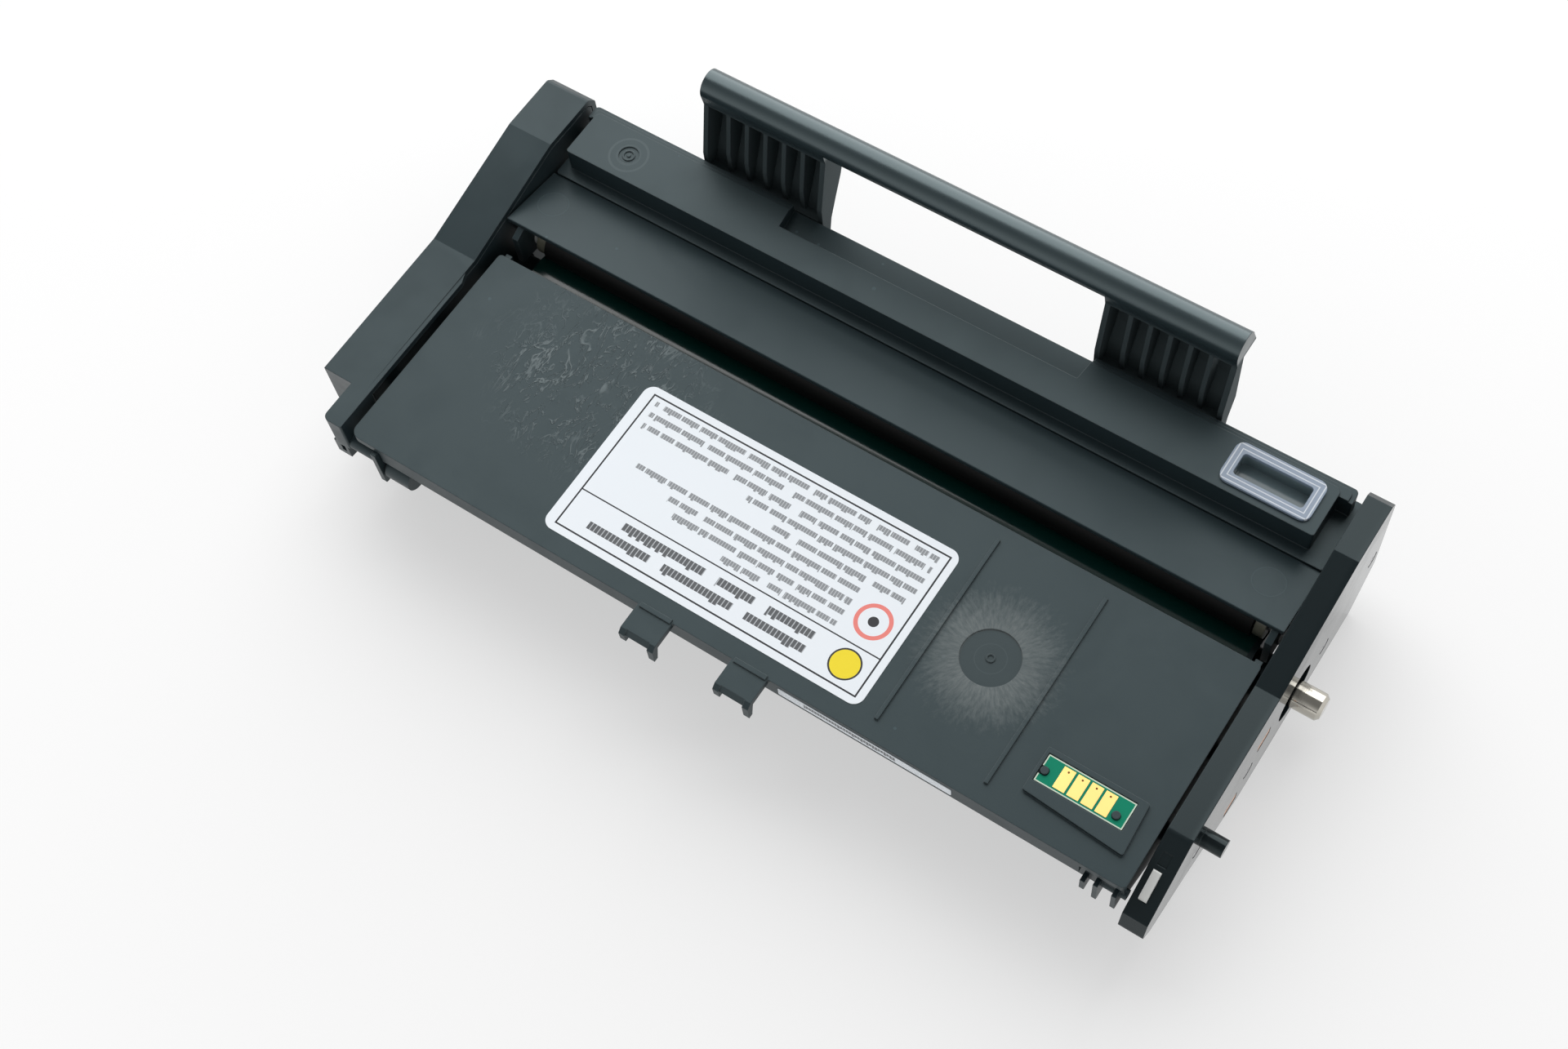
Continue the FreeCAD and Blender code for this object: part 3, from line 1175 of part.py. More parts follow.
def build_contact_cover():
    """The narrow folded shell at the right end, with its nose, guide pin, axle boss and contact seats."""
    body = new_body("contact_cover")
    profile = outline(CONTACT_PROFILE, {0: 2.0, 1: 1.6, 3: 3.0, 7: 1.6, 8: 1.6})
    pad(body, "Shell", "YZ_Plane", CONTACT_INNER, CONTACT_OUTER, [profile])
    inner = inset(CONTACT_PROFILE, WALL)
    cut(body, "Room", "YZ_Plane", CONTACT_INNER - 1.0, CONTACT_OUTER - WALL, [outline(inner)])
    pad(body, "AxleBoss", "YZ_Plane", CONTACT_INNER + 0.4, CONTACT_OUTER - WALL + 0.5, [ring(DRUM, 10.4)])
    recess = ring(DRUM, RECESS_RADIUS)
    cut(body, "AxleRecess", "YZ_Plane", CONTACT_OUTER - RECESS_DEPTH, CONTACT_OUTER + 1.0, [recess])
    axle = ring(DRUM, SIZE["axleRadius"])
    cut(body, "AxleSeat", "YZ_Plane", CONTACT_INNER - 1.0, CONTACT_OUTER + 1.0, [axle])
    pin = ring(GUIDE_PIN, SIZE["pinRadius"])
    pad(body, "GuidePin", "YZ_Plane", CONTACT_OUTER - 0.5, CONTACT_OUTER + GUIDE_PIN_REACH, [pin])
    pillars = [ring(place, PILLAR) for place in CONTACT_SCREWS]
    pad(body, "Pillars", "YZ_Plane", TROUGH_RIGHT, CONTACT_OUTER - WALL + 0.5, pillars)
    holes = [ring(place, SIZE["screwRadius"]) for place in CONTACT_SCREWS]
    cut(body, "ScrewHoles", "YZ_Plane", TROUGH_RIGHT - 1.0, CONTACT_OUTER + 1.0, holes)
    seats = [ring(place, HEAD_RADIUS + 0.1) for place in CONTACT_SCREWS]
    cut(body, "HeadSeats", "YZ_Plane", CONTACT_OUTER - HEAD_SINK, CONTACT_OUTER + 1.0, seats)
    for name, place in CONTACT_PADS.items():
        across, height = place
        wide, high = CONTACT_HALF
        seat = box(across - wide, height - high, across + wide, height + high, 0.6)
        cut(body, name + "Seat", "YZ_Plane", CONTACT_OUTER - 0.6, CONTACT_OUTER + 1.0, [seat])
        strip = new_body(name)
        pad(strip, "Strip", "YZ_Plane", CONTACT_OUTER - 0.6, CONTACT_OUTER - 0.1, [seat])
    low = CONTACT_INNER + WALL
    hole = NOSE_TIP + 14.6
    groove = [(hole + 3.2, 42.0), (hole, 40.0), (hole, 34.6), (hole + 3.2, 36.6)]
    cut(body, "NoseHole", "YZ_Plane", low, low + 2.6, [outline(groove)])
    pad_body = new_body("locating_pad")
    high = NOSE_TIP + 13.2
    deep = NOSE_TIP + 6.0
    slope = [(high, 33.6), (high, 35.5), (deep, 31.3), (deep, 29.4)]
    pad(pad_body, "Pad", "YZ_Plane", low, low + 2.3, [outline(slope, {1: 0.4, 2: 0.4})])
    cut(body, "PadSeat", "YZ_Plane", low, low + 2.3, [outline(slope)])


def side_screw(name, place, head_low, shank_low, shank_high):
    """A screw along X, with its head from a given plane."""
    cap = cylinder(name + "Head", HEAD_RADIUS, head_low, HEAD_HEIGHT, place)
    shank = cylinder(name + "Shank", "Sizes.screwRadius - 0.02", shank_low, shank_high - shank_low, place)
    return joined(name, "Part::Fuse", cap, shank)


def build_cover_screws():
    """The screws that hold both covers to the troughs."""
    screws = []
    for index, place in enumerate(DRIVE_SCREWS):
        head = DRIVE_OUTER + HEAD_SINK - HEAD_HEIGHT
        screws.append(side_screw(f"DriveScrew{index}", place, head, head + 0.5, TROUGH_LEFT + 1.6))
    for index, place in enumerate(CONTACT_SCREWS):
        head = CONTACT_OUTER - HEAD_SINK
        screws.append(side_screw(f"ContactScrew{index}", place, head, TROUGH_RIGHT - 1.6, head + 0.5))
    several("cover_screws", screws)


# Angles that put every pair of gears in mesh at rest, from the drum gear outwards
GEAR_PHASE = {"drum": 0.0, "pinion": 0.0}
GEAR_PHASE["developer"] = mesh_phase("drum", 0.0, "developer", DRUM, DEVELOPER)
GEAR_PHASE["idler"] = mesh_phase("developer", GEAR_PHASE["developer"], "idler", DEVELOPER, IDLER)
GEAR_PHASE["supply"] = mesh_phase("idler", GEAR_PHASE["idler"], "supply", IDLER, SUPPLY)
GEAR_PHASE["wheel"] = mesh_phase("idler", GEAR_PHASE["idler"], "wheel", IDLER, COMPOUND)
GEAR_PHASE["agitator"] = mesh_phase("pinion", GEAR_PHASE["pinion"], "agitator", COMPOUND, AGITATOR)

build_waste_cover()
build_labels()
build_waste_hopper()
build_charge_roller()
build_cleaning()
build_drum()
build_developer()
build_supply()
build_agitator()
build_idlers()
build_toner_hopper()
build_hopper_lid()
build_shield()
build_handle()
build_drive_cover()
build_drive_frame()
build_contact_cover()
build_cover_screws()

doc.recompute()

# Every object is checked before any file is written
for item in doc.Objects:
    problems = [state for state in item.State if state in ("Invalid", "Error")]
    if problems:
        raise RuntimeError(f"{item.Label}: {problems}")

os.makedirs("parts", exist_ok=True)
for label, item in NODES.items():
    if item.Shape.isNull() or not item.Shape.isValid() or not item.Shape.Solids:
        raise RuntimeError(f"{label}: no valid solid")
    item.Shape.exportStep(os.path.join("parts", f"{label}.step"))
print(len(NODES), "pieces")
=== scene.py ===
"""Looks of a toner cartridge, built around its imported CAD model."""

import logging
import math
from dataclasses import dataclass
from enum import Enum
from functools import cache
from typing import Iterable, Optional, Sequence, Union

import bmesh
import bpy
from mathutils import Euler, Matrix, Vector


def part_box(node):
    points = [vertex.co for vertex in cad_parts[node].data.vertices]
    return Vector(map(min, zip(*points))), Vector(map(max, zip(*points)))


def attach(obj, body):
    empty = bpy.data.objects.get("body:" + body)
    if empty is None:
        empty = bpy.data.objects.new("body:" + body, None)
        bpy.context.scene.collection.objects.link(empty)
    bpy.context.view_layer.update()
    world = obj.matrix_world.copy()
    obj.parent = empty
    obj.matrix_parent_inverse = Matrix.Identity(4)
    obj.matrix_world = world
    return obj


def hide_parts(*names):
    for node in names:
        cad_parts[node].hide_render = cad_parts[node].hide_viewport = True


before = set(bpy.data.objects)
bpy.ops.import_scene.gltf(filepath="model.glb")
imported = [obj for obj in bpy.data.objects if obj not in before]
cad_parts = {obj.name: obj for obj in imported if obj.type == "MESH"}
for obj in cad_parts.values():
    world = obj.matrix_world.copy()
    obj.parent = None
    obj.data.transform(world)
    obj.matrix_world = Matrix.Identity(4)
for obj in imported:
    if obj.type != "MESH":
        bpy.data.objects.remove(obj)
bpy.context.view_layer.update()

LOG = logging.getLogger("toner_cartridge")
MM = 0.001

Socket = bpy.types.NodeSocket
Number = Union[float, Socket]
Colour = tuple[float, float, float]
Point = tuple[float, float, float]


class Kind(Enum):
    """Kinds of socket that a shader node group can have."""

    VALUE = "NodeSocketFloat"
    VECTOR = "NodeSocketVector"


class Maths(Enum):
    """Operations of the math node that the effects use."""

    ADD = "ADD"
    LESS_BY = "SUBTRACT"
    TIMES = "MULTIPLY"
    OVER = "DIVIDE"
    ABOVE = "GREATER_THAN"
    BELOW = "LESS_THAN"
    SMALLER = "MINIMUM"
    LARGER = "MAXIMUM"
    FLOOR = "FLOOR"
    FRACTION = "FRACT"
    SIZE = "ABSOLUTE"
    ROOT = "SQRT"
    ANGLE = "ARCTAN2"
    SINE = "SINE"


@dataclass(frozen=True)
class Port:
    """One named input or output of a shader node group."""

    name: str
    kind: Kind = Kind.VALUE
    default: Union[float, Point, None] = None


class Graph:
    """A node tree with short typed calls for the nodes that the effects use."""

    def __init__(self, tree: bpy.types.NodeTree) -> None:
        """Keep the tree.

        Args:
            tree: the node tree to add to.
        """
        self.tree = tree

    def node(self, kind: str, **settings: object) -> bpy.types.Node:
        """Add a node.

        Args:
            kind: the node's type name.
            settings: attributes to set on the node.

        Returns:
            The new node.
        """
        made = self.tree.nodes.new(kind)
        for name, value in settings.items():
            setattr(made, name, value)
        return made

    def feed(self, target: Socket, value: Union[Number, Point, None]) -> None:
        """Link a socket to a target, or set the target's own value.

        Args:
            target: the input socket.
            value: another socket, or a plain value.
        """
        if value is None:
            return
        if isinstance(value, bpy.types.NodeSocket):
            self.tree.links.new(value, target)
            return
        if target.type == "RGBA" and len(value) == 3:
            value = (*value, 1.0)
        target.default_value = value

    def maths(self, operation: Maths, first: Number, second: Number = 0.0, clamp: bool = False) -> Socket:
        """Add a math node.

        Args:
            operation: what it does.
            first: first value.
            second: second value.
            clamp: whether the result stays between 0 and 1.

        Returns:
            The result.
        """
        made = self.node("ShaderNodeMath", operation=operation.value, use_clamp=clamp)
        self.feed(made.inputs[0], first)
        self.feed(made.inputs[1], second)
        return made.outputs[0]

    def times(self, *values: Number) -> Socket:
        """Multiply several values.

        Args:
            values: the values.

        Returns:
            The product.
        """
        product = values[0]
        for value in values[1:]:
            product = self.maths(Maths.TIMES, product, value)
        return product

    def add(self, *values: Number) -> Socket:
        """Add several values.

        Args:
            values: the values.

        Returns:
            The sum.
        """
        total = values[0]
        for value in values[1:]:
            total = self.maths(Maths.ADD, total, value)
        return total

    def minus(self, first: Number, second: Number) -> Socket:
        """Take one value from another.

        Args:
            first: the value taken from.
            second: the value taken.

        Returns:
            The difference.
        """
        return self.maths(Maths.LESS_BY, first, second)

    def length(self, first: Number, second: Number) -> Socket:
        """Find the length of a flat vector.

        Args:
            first: its part along X.
            second: its part along Y.

        Returns:
            The length.
        """
        return self.maths(Maths.ROOT, self.add(self.times(first, first), self.times(second, second)))

    def within(self, value: Number, low: Number, high: Number) -> Socket:
        """Mark where a value lies between two others.

        Args:
            value: the value.
            low: the lower limit.
            high: the upper limit.

        Returns:
            1 between the limits, and 0 elsewhere.
        """
        return self.times(self.maths(Maths.ABOVE, value, low), self.maths(Maths.BELOW, value, high))

    def ramp(
        self, value: Number, start: Number, end: Number, low: Number = 0.0, high: Number = 1.0
    ) -> Socket:
        """Map a value smoothly from one range to another, and hold it there.

        Args:
            value: the value.
            start: where the result is low.
            end: where the result is high.
            low: result at the start.
            high: result at the end.

        Returns:
            The mapped value.
        """
        made = self.node("ShaderNodeMapRange", interpolation_type="SMOOTHSTEP")
        for index, item in enumerate((value, start, end, low, high)):
            self.feed(made.inputs[index], item)
        return made.outputs[0]

    def mix(self, factor: Number, first: Union[Socket, Colour], second: Union[Socket, Colour]) -> Socket:
        """Mix two colours.

        Args:
            factor: share of the second colour.
            first: first colour.
            second: second colour.

        Returns:
            The mixed colour.
        """
        made = self.node("ShaderNodeMix", data_type="RGBA")
        self.feed(made.inputs[0], factor)
        self.feed(made.inputs[6], first)
        self.feed(made.inputs[7], second)
        return made.outputs[2]

    def parts(self, vector: Socket) -> tuple[Socket, Socket, Socket]:
        """Split a vector.

        Args:
            vector: the vector.

        Returns:
            Its three values.
        """
        made = self.node("ShaderNodeSeparateXYZ")
        self.feed(made.inputs[0], vector)
        return made.outputs[0], made.outputs[1], made.outputs[2]

    def vector(self, x: Number = 0.0, y: Number = 0.0, z: Number = 0.0) -> Socket:
        """Join three values into a vector.

        Args:
            x: first value.
            y: second value.
            z: third value.

        Returns:
            The vector.
        """
        made = self.node("ShaderNodeCombineXYZ")
        for index, item in enumerate((x, y, z)):
            self.feed(made.inputs[index], item)
        return made.outputs[0]

    def placed(
        self, vector: Socket, shift: Point = (0, 0, 0), turn: Point = (0, 0, 0), scale: Point = (1, 1, 1)
    ) -> Socket:
        """Shift, turn and scale a vector.

        Args:
            vector: the vector.
            shift: shift along each axis.
            turn: turn about each axis, in degrees.
            scale: scale along each axis.

        Returns:
            The changed vector.
        """
        made = self.node("ShaderNodeMapping")
        self.feed(made.inputs[0], vector)
        self.feed(made.inputs[1], shift)
        self.feed(made.inputs[2], tuple(math.radians(angle) for angle in turn))
        self.feed(made.inputs[3], scale)
        return made.outputs[0]

    def noise(
        self, vector: Socket, scale: Number, detail: float = 2.0, rough: float = 0.5, bend: float = 0.0
    ) -> Socket:
        """Add a noise.

        Args:
            vector: where it is read.
            scale: features per unit.
            detail: number of octaves.
            rough: strength of the fine octaves.
            bend: distortion.

        Returns:
            The noise, from 0 to 1.
        """
        made = self.node("ShaderNodeTexNoise")
        names = ("Vector", "Scale", "Detail", "Roughness", "Distortion")
        for name, value in zip(names, (vector, scale, detail, rough, bend)):
            self.feed(made.inputs[name], value)
        return made.outputs[0]

    def cells(self, vector: Socket, scale: Number, feature: str = "F1") -> bpy.types.Node:
        """Add a cell pattern.

        Args:
            vector: where it is read.
            scale: cells per unit.
            feature: which distance it gives.

        Returns:
            The node.
        """
        made = self.node("ShaderNodeTexVoronoi", feature=feature)
        self.feed(made.inputs["Vector"], vector)
        self.feed(made.inputs["Scale"], scale)
        return made

    def chance(self, vector: Socket) -> Socket:
        """Add a random value that stays the same at one place.

        Args:
            vector: the place.

        Returns:
            The value, from 0 to 1.
        """
        made = self.node("ShaderNodeTexWhiteNoise", noise_dimensions="2D")
        self.feed(made.inputs["Vector"], vector)
        return made.outputs[0]


CENTRE = Port("Centre", Kind.VECTOR, (0, 0, 0))
LOW = Port("Low", Kind.VECTOR, (0, 0, 0))
HIGH = Port("High", Kind.VECTOR, (1, 1, 0))


class Effect(Graph):
    """A shader node group with named sockets, shared by several materials."""

    def __init__(self, name: str, inputs: Sequence[Port] = (), outputs: Sequence[str] = ("Mask",)) -> None:
        """Make the group and its sockets, the first of which says where it is read.

        Args:
            name: the group's name.
            inputs: the other sockets that come in.
            outputs: names of the values that go out.
        """
        self.group = bpy.data.node_groups.new(name, "ShaderNodeTree")
        super().__init__(self.group)
        incoming = (Port("Vector", Kind.VECTOR), *inputs)
        outgoing = [Port(output) for output in outputs]
        for direction, ports in (("INPUT", incoming), ("OUTPUT", outgoing)):
            for port in ports:
                socket = self.group.interface.new_socket(
                    port.name, in_out=direction, socket_type=port.kind.value
                )
                if port.default is not None:
                    socket.default_value = port.default
        self.entry = self.node("NodeGroupInput")
        self.exit = self.node("NodeGroupOutput")
        self.place = self.given("Vector")

    def given(self, name: str) -> Socket:
        """Find an input of the group.

        Args:
            name: the input's name.

        Returns:
            The socket, seen from inside.
        """
        return self.entry.outputs[name]

    def give(self, name: str, value: Number) -> None:
        """Feed an output of the group.

        Args:
            name: the output's name.
            value: what it gives.
        """
        self.feed(self.exit.inputs[name], value)

    def offset(self) -> tuple[Socket, Socket]:
        """Find how far the place lies from the group's centre.

        Returns:
            The distance along X, and that along Y.
        """
        x, y, _ = self.parts(self.place)
        centre_x, centre_y, _ = self.parts(self.given("Centre"))
        return self.minus(x, centre_x), self.minus(y, centre_y)


class EffectLibrary:
    """Every shared effect, each built once."""

    def __init__(self) -> None:
        """Build the groups."""
        self.grain = self.moulded_grain()
        self.scratch = self.fine_scratches()
        self.smudge = self.handling_smudges()
        self.specks = self.dust_specks()
        self.flow = self.flow_marks()
        self.halo = self.gate_halo()
        self.block = self.print_block()
        self.bar = self.print_bar()
        self.round_mark = self.print_ring()
        self.lathe = self.turned_lines()
        self.foam = self.foam_cells()

    def moulded_grain(self) -> Effect:
        """The fine spark-eroded texture of moulded plastic.

        Returns:
            The group.
        """
        effect = Effect("moulded_grain", [Port("Scale", default=2400.0)], ("Height", "Tone"))
        place, scale = effect.place, effect.given("Scale")
        coarse = effect.noise(place, scale, 3.0, 0.6)
        pits = effect.cells(place, effect.times(scale, 0.7), "SMOOTH_F1").outputs["Distance"]
        effect.give("Height", effect.add(effect.times(coarse, 0.6), effect.times(pits, 0.4)))
        effect.give("Tone", effect.noise(place, effect.times(scale, 0.012), 3.0, 0.55))
        return effect

    def fine_scratches(self) -> Effect:
        """Thin broken scratches that run roughly one way.

        Returns:
            The group.
        """
        effect = Effect("fine_scratches", [Port("Scale", default=500.0), Port("Amount", default=0.3)])
        place, scale = effect.place, effect.given("Scale")
        total: Number = 0.0
        for turn, shift in ((24.0, 0.0), (-37.0, 3.1), (71.0, 7.7)):
            line = effect.placed(place, (shift, shift, 0), (0, 0, turn), (0.035, 1.0, 1.0))
            thin = effect.ramp(effect.noise(line, scale, 1.0, 0.4), 0.70, 0.76)
            broken = effect.ramp(effect.noise(place, effect.times(scale, 0.07), 1.0), 0.5, 0.72)
            total = effect.add(total, effect.times(thin, broken))
        effect.give("Mask", effect.maths(Maths.TIMES, total, effect.given("Amount"), clamp=True))
        return effect

    def handling_smudges(self) -> Effect:
        """Soft cloudy marks that hands leave.

        Returns:
            The group.
        """
        effect = Effect("handling_smudges", [Port("Scale", default=40.0)])
        cloud = effect.noise(effect.place, effect.given("Scale"), 4.0, 0.62, 0.6)
        effect.give("Mask", effect.ramp(cloud, 0.38, 0.72))
        return effect

    def dust_specks(self) -> Effect:
        """Small pale specks of dust and lint.

        Returns:
            The group.
        """
        effect = Effect("dust_specks", [Port("Scale", default=260.0), Port("Share", default=0.1)])
        cell = effect.cells(effect.place, effect.given("Scale")).outputs
        pick, width, _ = effect.parts(cell["Color"])
        chosen = effect.maths(Maths.BELOW, pick, effect.given("Share"))
        spot = effect.maths(Maths.BELOW, cell["Distance"], effect.times(width, 0.16))
        effect.give("Mask", effect.times(chosen, spot))
        return effect

    def flow_marks(self) -> Effect:
        """The wrinkled flow marks of the moulding, strongest near one place.

        Returns:
            The group.
        """
        ports = [CENTRE, Port("Reach", Kind.VECTOR, (1, 1, 1))]
        effect = Effect("flow_marks", ports, ("Height", "Mask"))
        place = effect.place
        along, across = effect.offset()
        reach_x, reach_y, _ = effect.parts(effect.given("Reach"))
        distance = effect.length(
            effect.maths(Maths.OVER, along, reach_x), effect.maths(Maths.OVER, across, reach_y)
        )
        edge = effect.add(distance, effect.times(effect.noise(place, 90.0, 2.0), 0.7))
        near = effect.ramp(edge, 0.75, 1.35, 1.0, 0.0)
        bent = effect.placed(place, (0, 0, 0), (0, 0, 6.0), (1.0, 0.38, 1.0))
        height: Number = 0.0
        for scale, thin, share in ((170.0, 0.03, 1.0), (380.0, 0.035, 0.7)):
            ridges = effect.noise(bent, scale, 3.0, 0.6, 0.7)
            folded = effect.maths(Maths.SIZE, effect.minus(ridges, 0.5))
            broken = effect.ramp(effect.noise(place, scale * 0.5, 2.0), 0.42, 0.55)
            line = effect.times(effect.ramp(folded, 0.0, thin, 1.0, 0.0), broken, share)
            height = effect.maths(Maths.LARGER, height, line)
        effect.give("Height", effect.times(height, near))
        effect.give("Mask", near)
        return effect

    def gate_halo(self) -> Effect:
        """The pale burst that spreads from an injection gate.

        Returns:
            The group.
        """
        effect = Effect("gate_halo", [CENTRE, Port("Inner", default=0.008), Port("Outer", default=0.024)])
        inner = effect.given("Inner")
        along, across = effect.offset()
        radius = effect.length(along, across)
        angle = effect.maths(Maths.ANGLE, across, along)
        sine = effect.maths(Maths.SINE, angle)
        cosine = effect.maths(Maths.SINE, effect.add(angle, math.pi / 2))
        rays = effect.noise(effect.vector(sine, cosine, effect.times(radius, 25.0)), 16.0, 4.0, 0.7)
        cloud = effect.noise(effect.vector(along, across, 0.0), 70.0, 2.0)
        reach = effect.add(effect.given("Outer"), effect.times(effect.minus(rays, 0.5), 0.018))
        fade = effect.ramp(radius, inner, reach, 1.0, 0.0)
        outside = effect.ramp(radius, effect.minus(inner, 0.0004), inner)
        bright = effect.ramp(rays, 0.25, 0.75, 0.45, 1.0)
        strong = effect.times(fade, outside, bright, effect.add(0.5, cloud))
        inside = effect.times(effect.minus(1.0, outside), 0.12)
        effect.give("Mask", effect.add(strong, inside))
        return effect

    def print_block(self) -> Effect:
        """A printed rectangle.

        Returns:
            The group.
        """
        effect = Effect("print_block", [LOW, HIGH])
        x, y, _ = effect.parts(effect.place)
        low_x, low_y, _ = effect.parts(effect.given("Low"))
        high_x, high_y, _ = effect.parts(effect.given("High"))
        effect.give("Mask", effect.times(effect.within(x, low_x, high_x), effect.within(y, low_y, high_y)))
        return effect

    def print_bar(self) -> Effect:
        """A plain bar with small gaps, as a line of small print looks from afar.

        Returns:
            The group.
        """
        effect = Effect("print_bar", [LOW, HIGH, Port("Word", default=6.0), Port("Gap", default=0.13)])
        x, y, _ = effect.parts(effect.place)
        low_x, low_y, _ = effect.parts(effect.given("Low"))
        high_x, high_y, _ = effect.parts(effect.given("High"))
        height = effect.minus(high_y, low_y)
        level = effect.maths(Maths.OVER, effect.minus(y, low_y), height)
        stroke = effect.maths(Maths.OVER, effect.minus(high_x, x), effect.times(height, 0.42))
        tall = effect.chance(effect.vector(effect.maths(Maths.FLOOR, stroke), low_y, 0.0))
        top = effect.add(0.78, effect.times(effect.maths(Maths.ABOVE, tall, 0.72), 0.22))
        inside_y = effect.within(level, effect.minus(1.0, top), 1.0)
        shifted = effect.add(effect.maths(Maths.OVER, x, effect.given("Word")), effect.times(low_y, 1.73))
        uneven = effect.noise(effect.vector(shifted, low_y, 0.0), 0.8, 1.0)
        word = effect.maths(Maths.FRACTION, effect.add(shifted, effect.times(uneven, 2.2)))
        gap = effect.maths(Maths.ABOVE, word, effect.given("Gap"))
        letters = effect.ramp(effect.maths(Maths.FRACTION, stroke), 0.10, 0.30, 0.45, 1.0)
        effect.give("Mask", effect.times(effect.within(x, low_x, high_x), inside_y, gap, letters))
        return effect

    def print_ring(self) -> Effect:
        """A printed disc or ring.

        Returns:
            The group.
        """
        effect = Effect("print_ring", [CENTRE, Port("Inner", default=0.0), Port("Outer", default=1.0)])
        radius = effect.length(*effect.offset())
        effect.give("Mask", effect.within(radius, effect.given("Inner"), effect.given("Outer")))
        return effect

    def turned_lines(self) -> Effect:
        """The fine lines round a turned bar that lies along X.

        Returns:
            The group.
        """
        effect = Effect("turned_lines", [Port("Scale", default=3000.0)], ("Height", "Band"))
        scale = effect.given("Scale")
        x, y, z = effect.parts(effect.place)
        squeezed = effect.vector(x, effect.times(y, 0.04), effect.times(z, 0.04))
        effect.give("Height", effect.noise(squeezed, scale, 2.0))
        effect.give("Band", effect.noise(effect.vector(x, 0.0, 0.0), effect.times(scale, 0.02), 2.0))
        return effect

    def foam_cells(self) -> Effect:
        """The open cells of foam rubber.

        Returns:
            The group.
        """
        effect = Effect("foam_cells", [Port("Scale", default=1600.0)], ("Height",))
        cell = effect.cells(effect.place, effect.given("Scale"), "DISTANCE_TO_EDGE").outputs["Distance"]
        effect.give("Height", effect.ramp(cell, 0.0, 0.3))
        return effect


COAT_ROUGHNESS = 0.12
SMOOTHEST = 0.03
PLASTIC_IOR = 1.49
WEAR_SHARE = 0.35
# Limits of the edge mask, and the pale colour painted along edges as a highlight.
EDGE_SHARP, EDGE_FLAT = 0.80, 0.985
PAINTED_EDGE_HIGHLIGHT = (0.16, 0.18, 0.185)


def lifted(colour: Colour, gain: float, base: float, most: float) -> Colour:
    """Make a colour lighter.

    Args:
        colour: the colour.
        gain: what each part is multiplied by.
        base: what is added to each part then.
        most: the largest part allowed.

    Returns:
        The lighter colour.
    """
    return tuple(min(most, part * gain + base) for part in colour)


def metres(values: Sequence[float]) -> tuple[float, ...]:
    """Turn millimetres into metres.

    Args:
        values: the lengths in millimetres.

    Returns:
        The lengths in metres.
    """
    return tuple(value * MM for value in values)


@dataclass(frozen=True)
class Finish:
    """How one kind of surface looks before its own marks are added."""

    name: str
    colour: Colour
    roughness: float
    metallic: float = 0.0
    coat: float = 0.0
    specular: float = 0.5
    grain: float = 0.12
    grain_scale: float = 2400.0
    smudges: float = 0.06
    scratches: float = 0.1
    dust: float = 0.04
    bevel: float = 0.35
    tone: float = 0.12
    shine: Colour = (1.0, 1.0, 1.0)
    # Share of the pale highlight painted along the edges.
    edges: float = 0.0


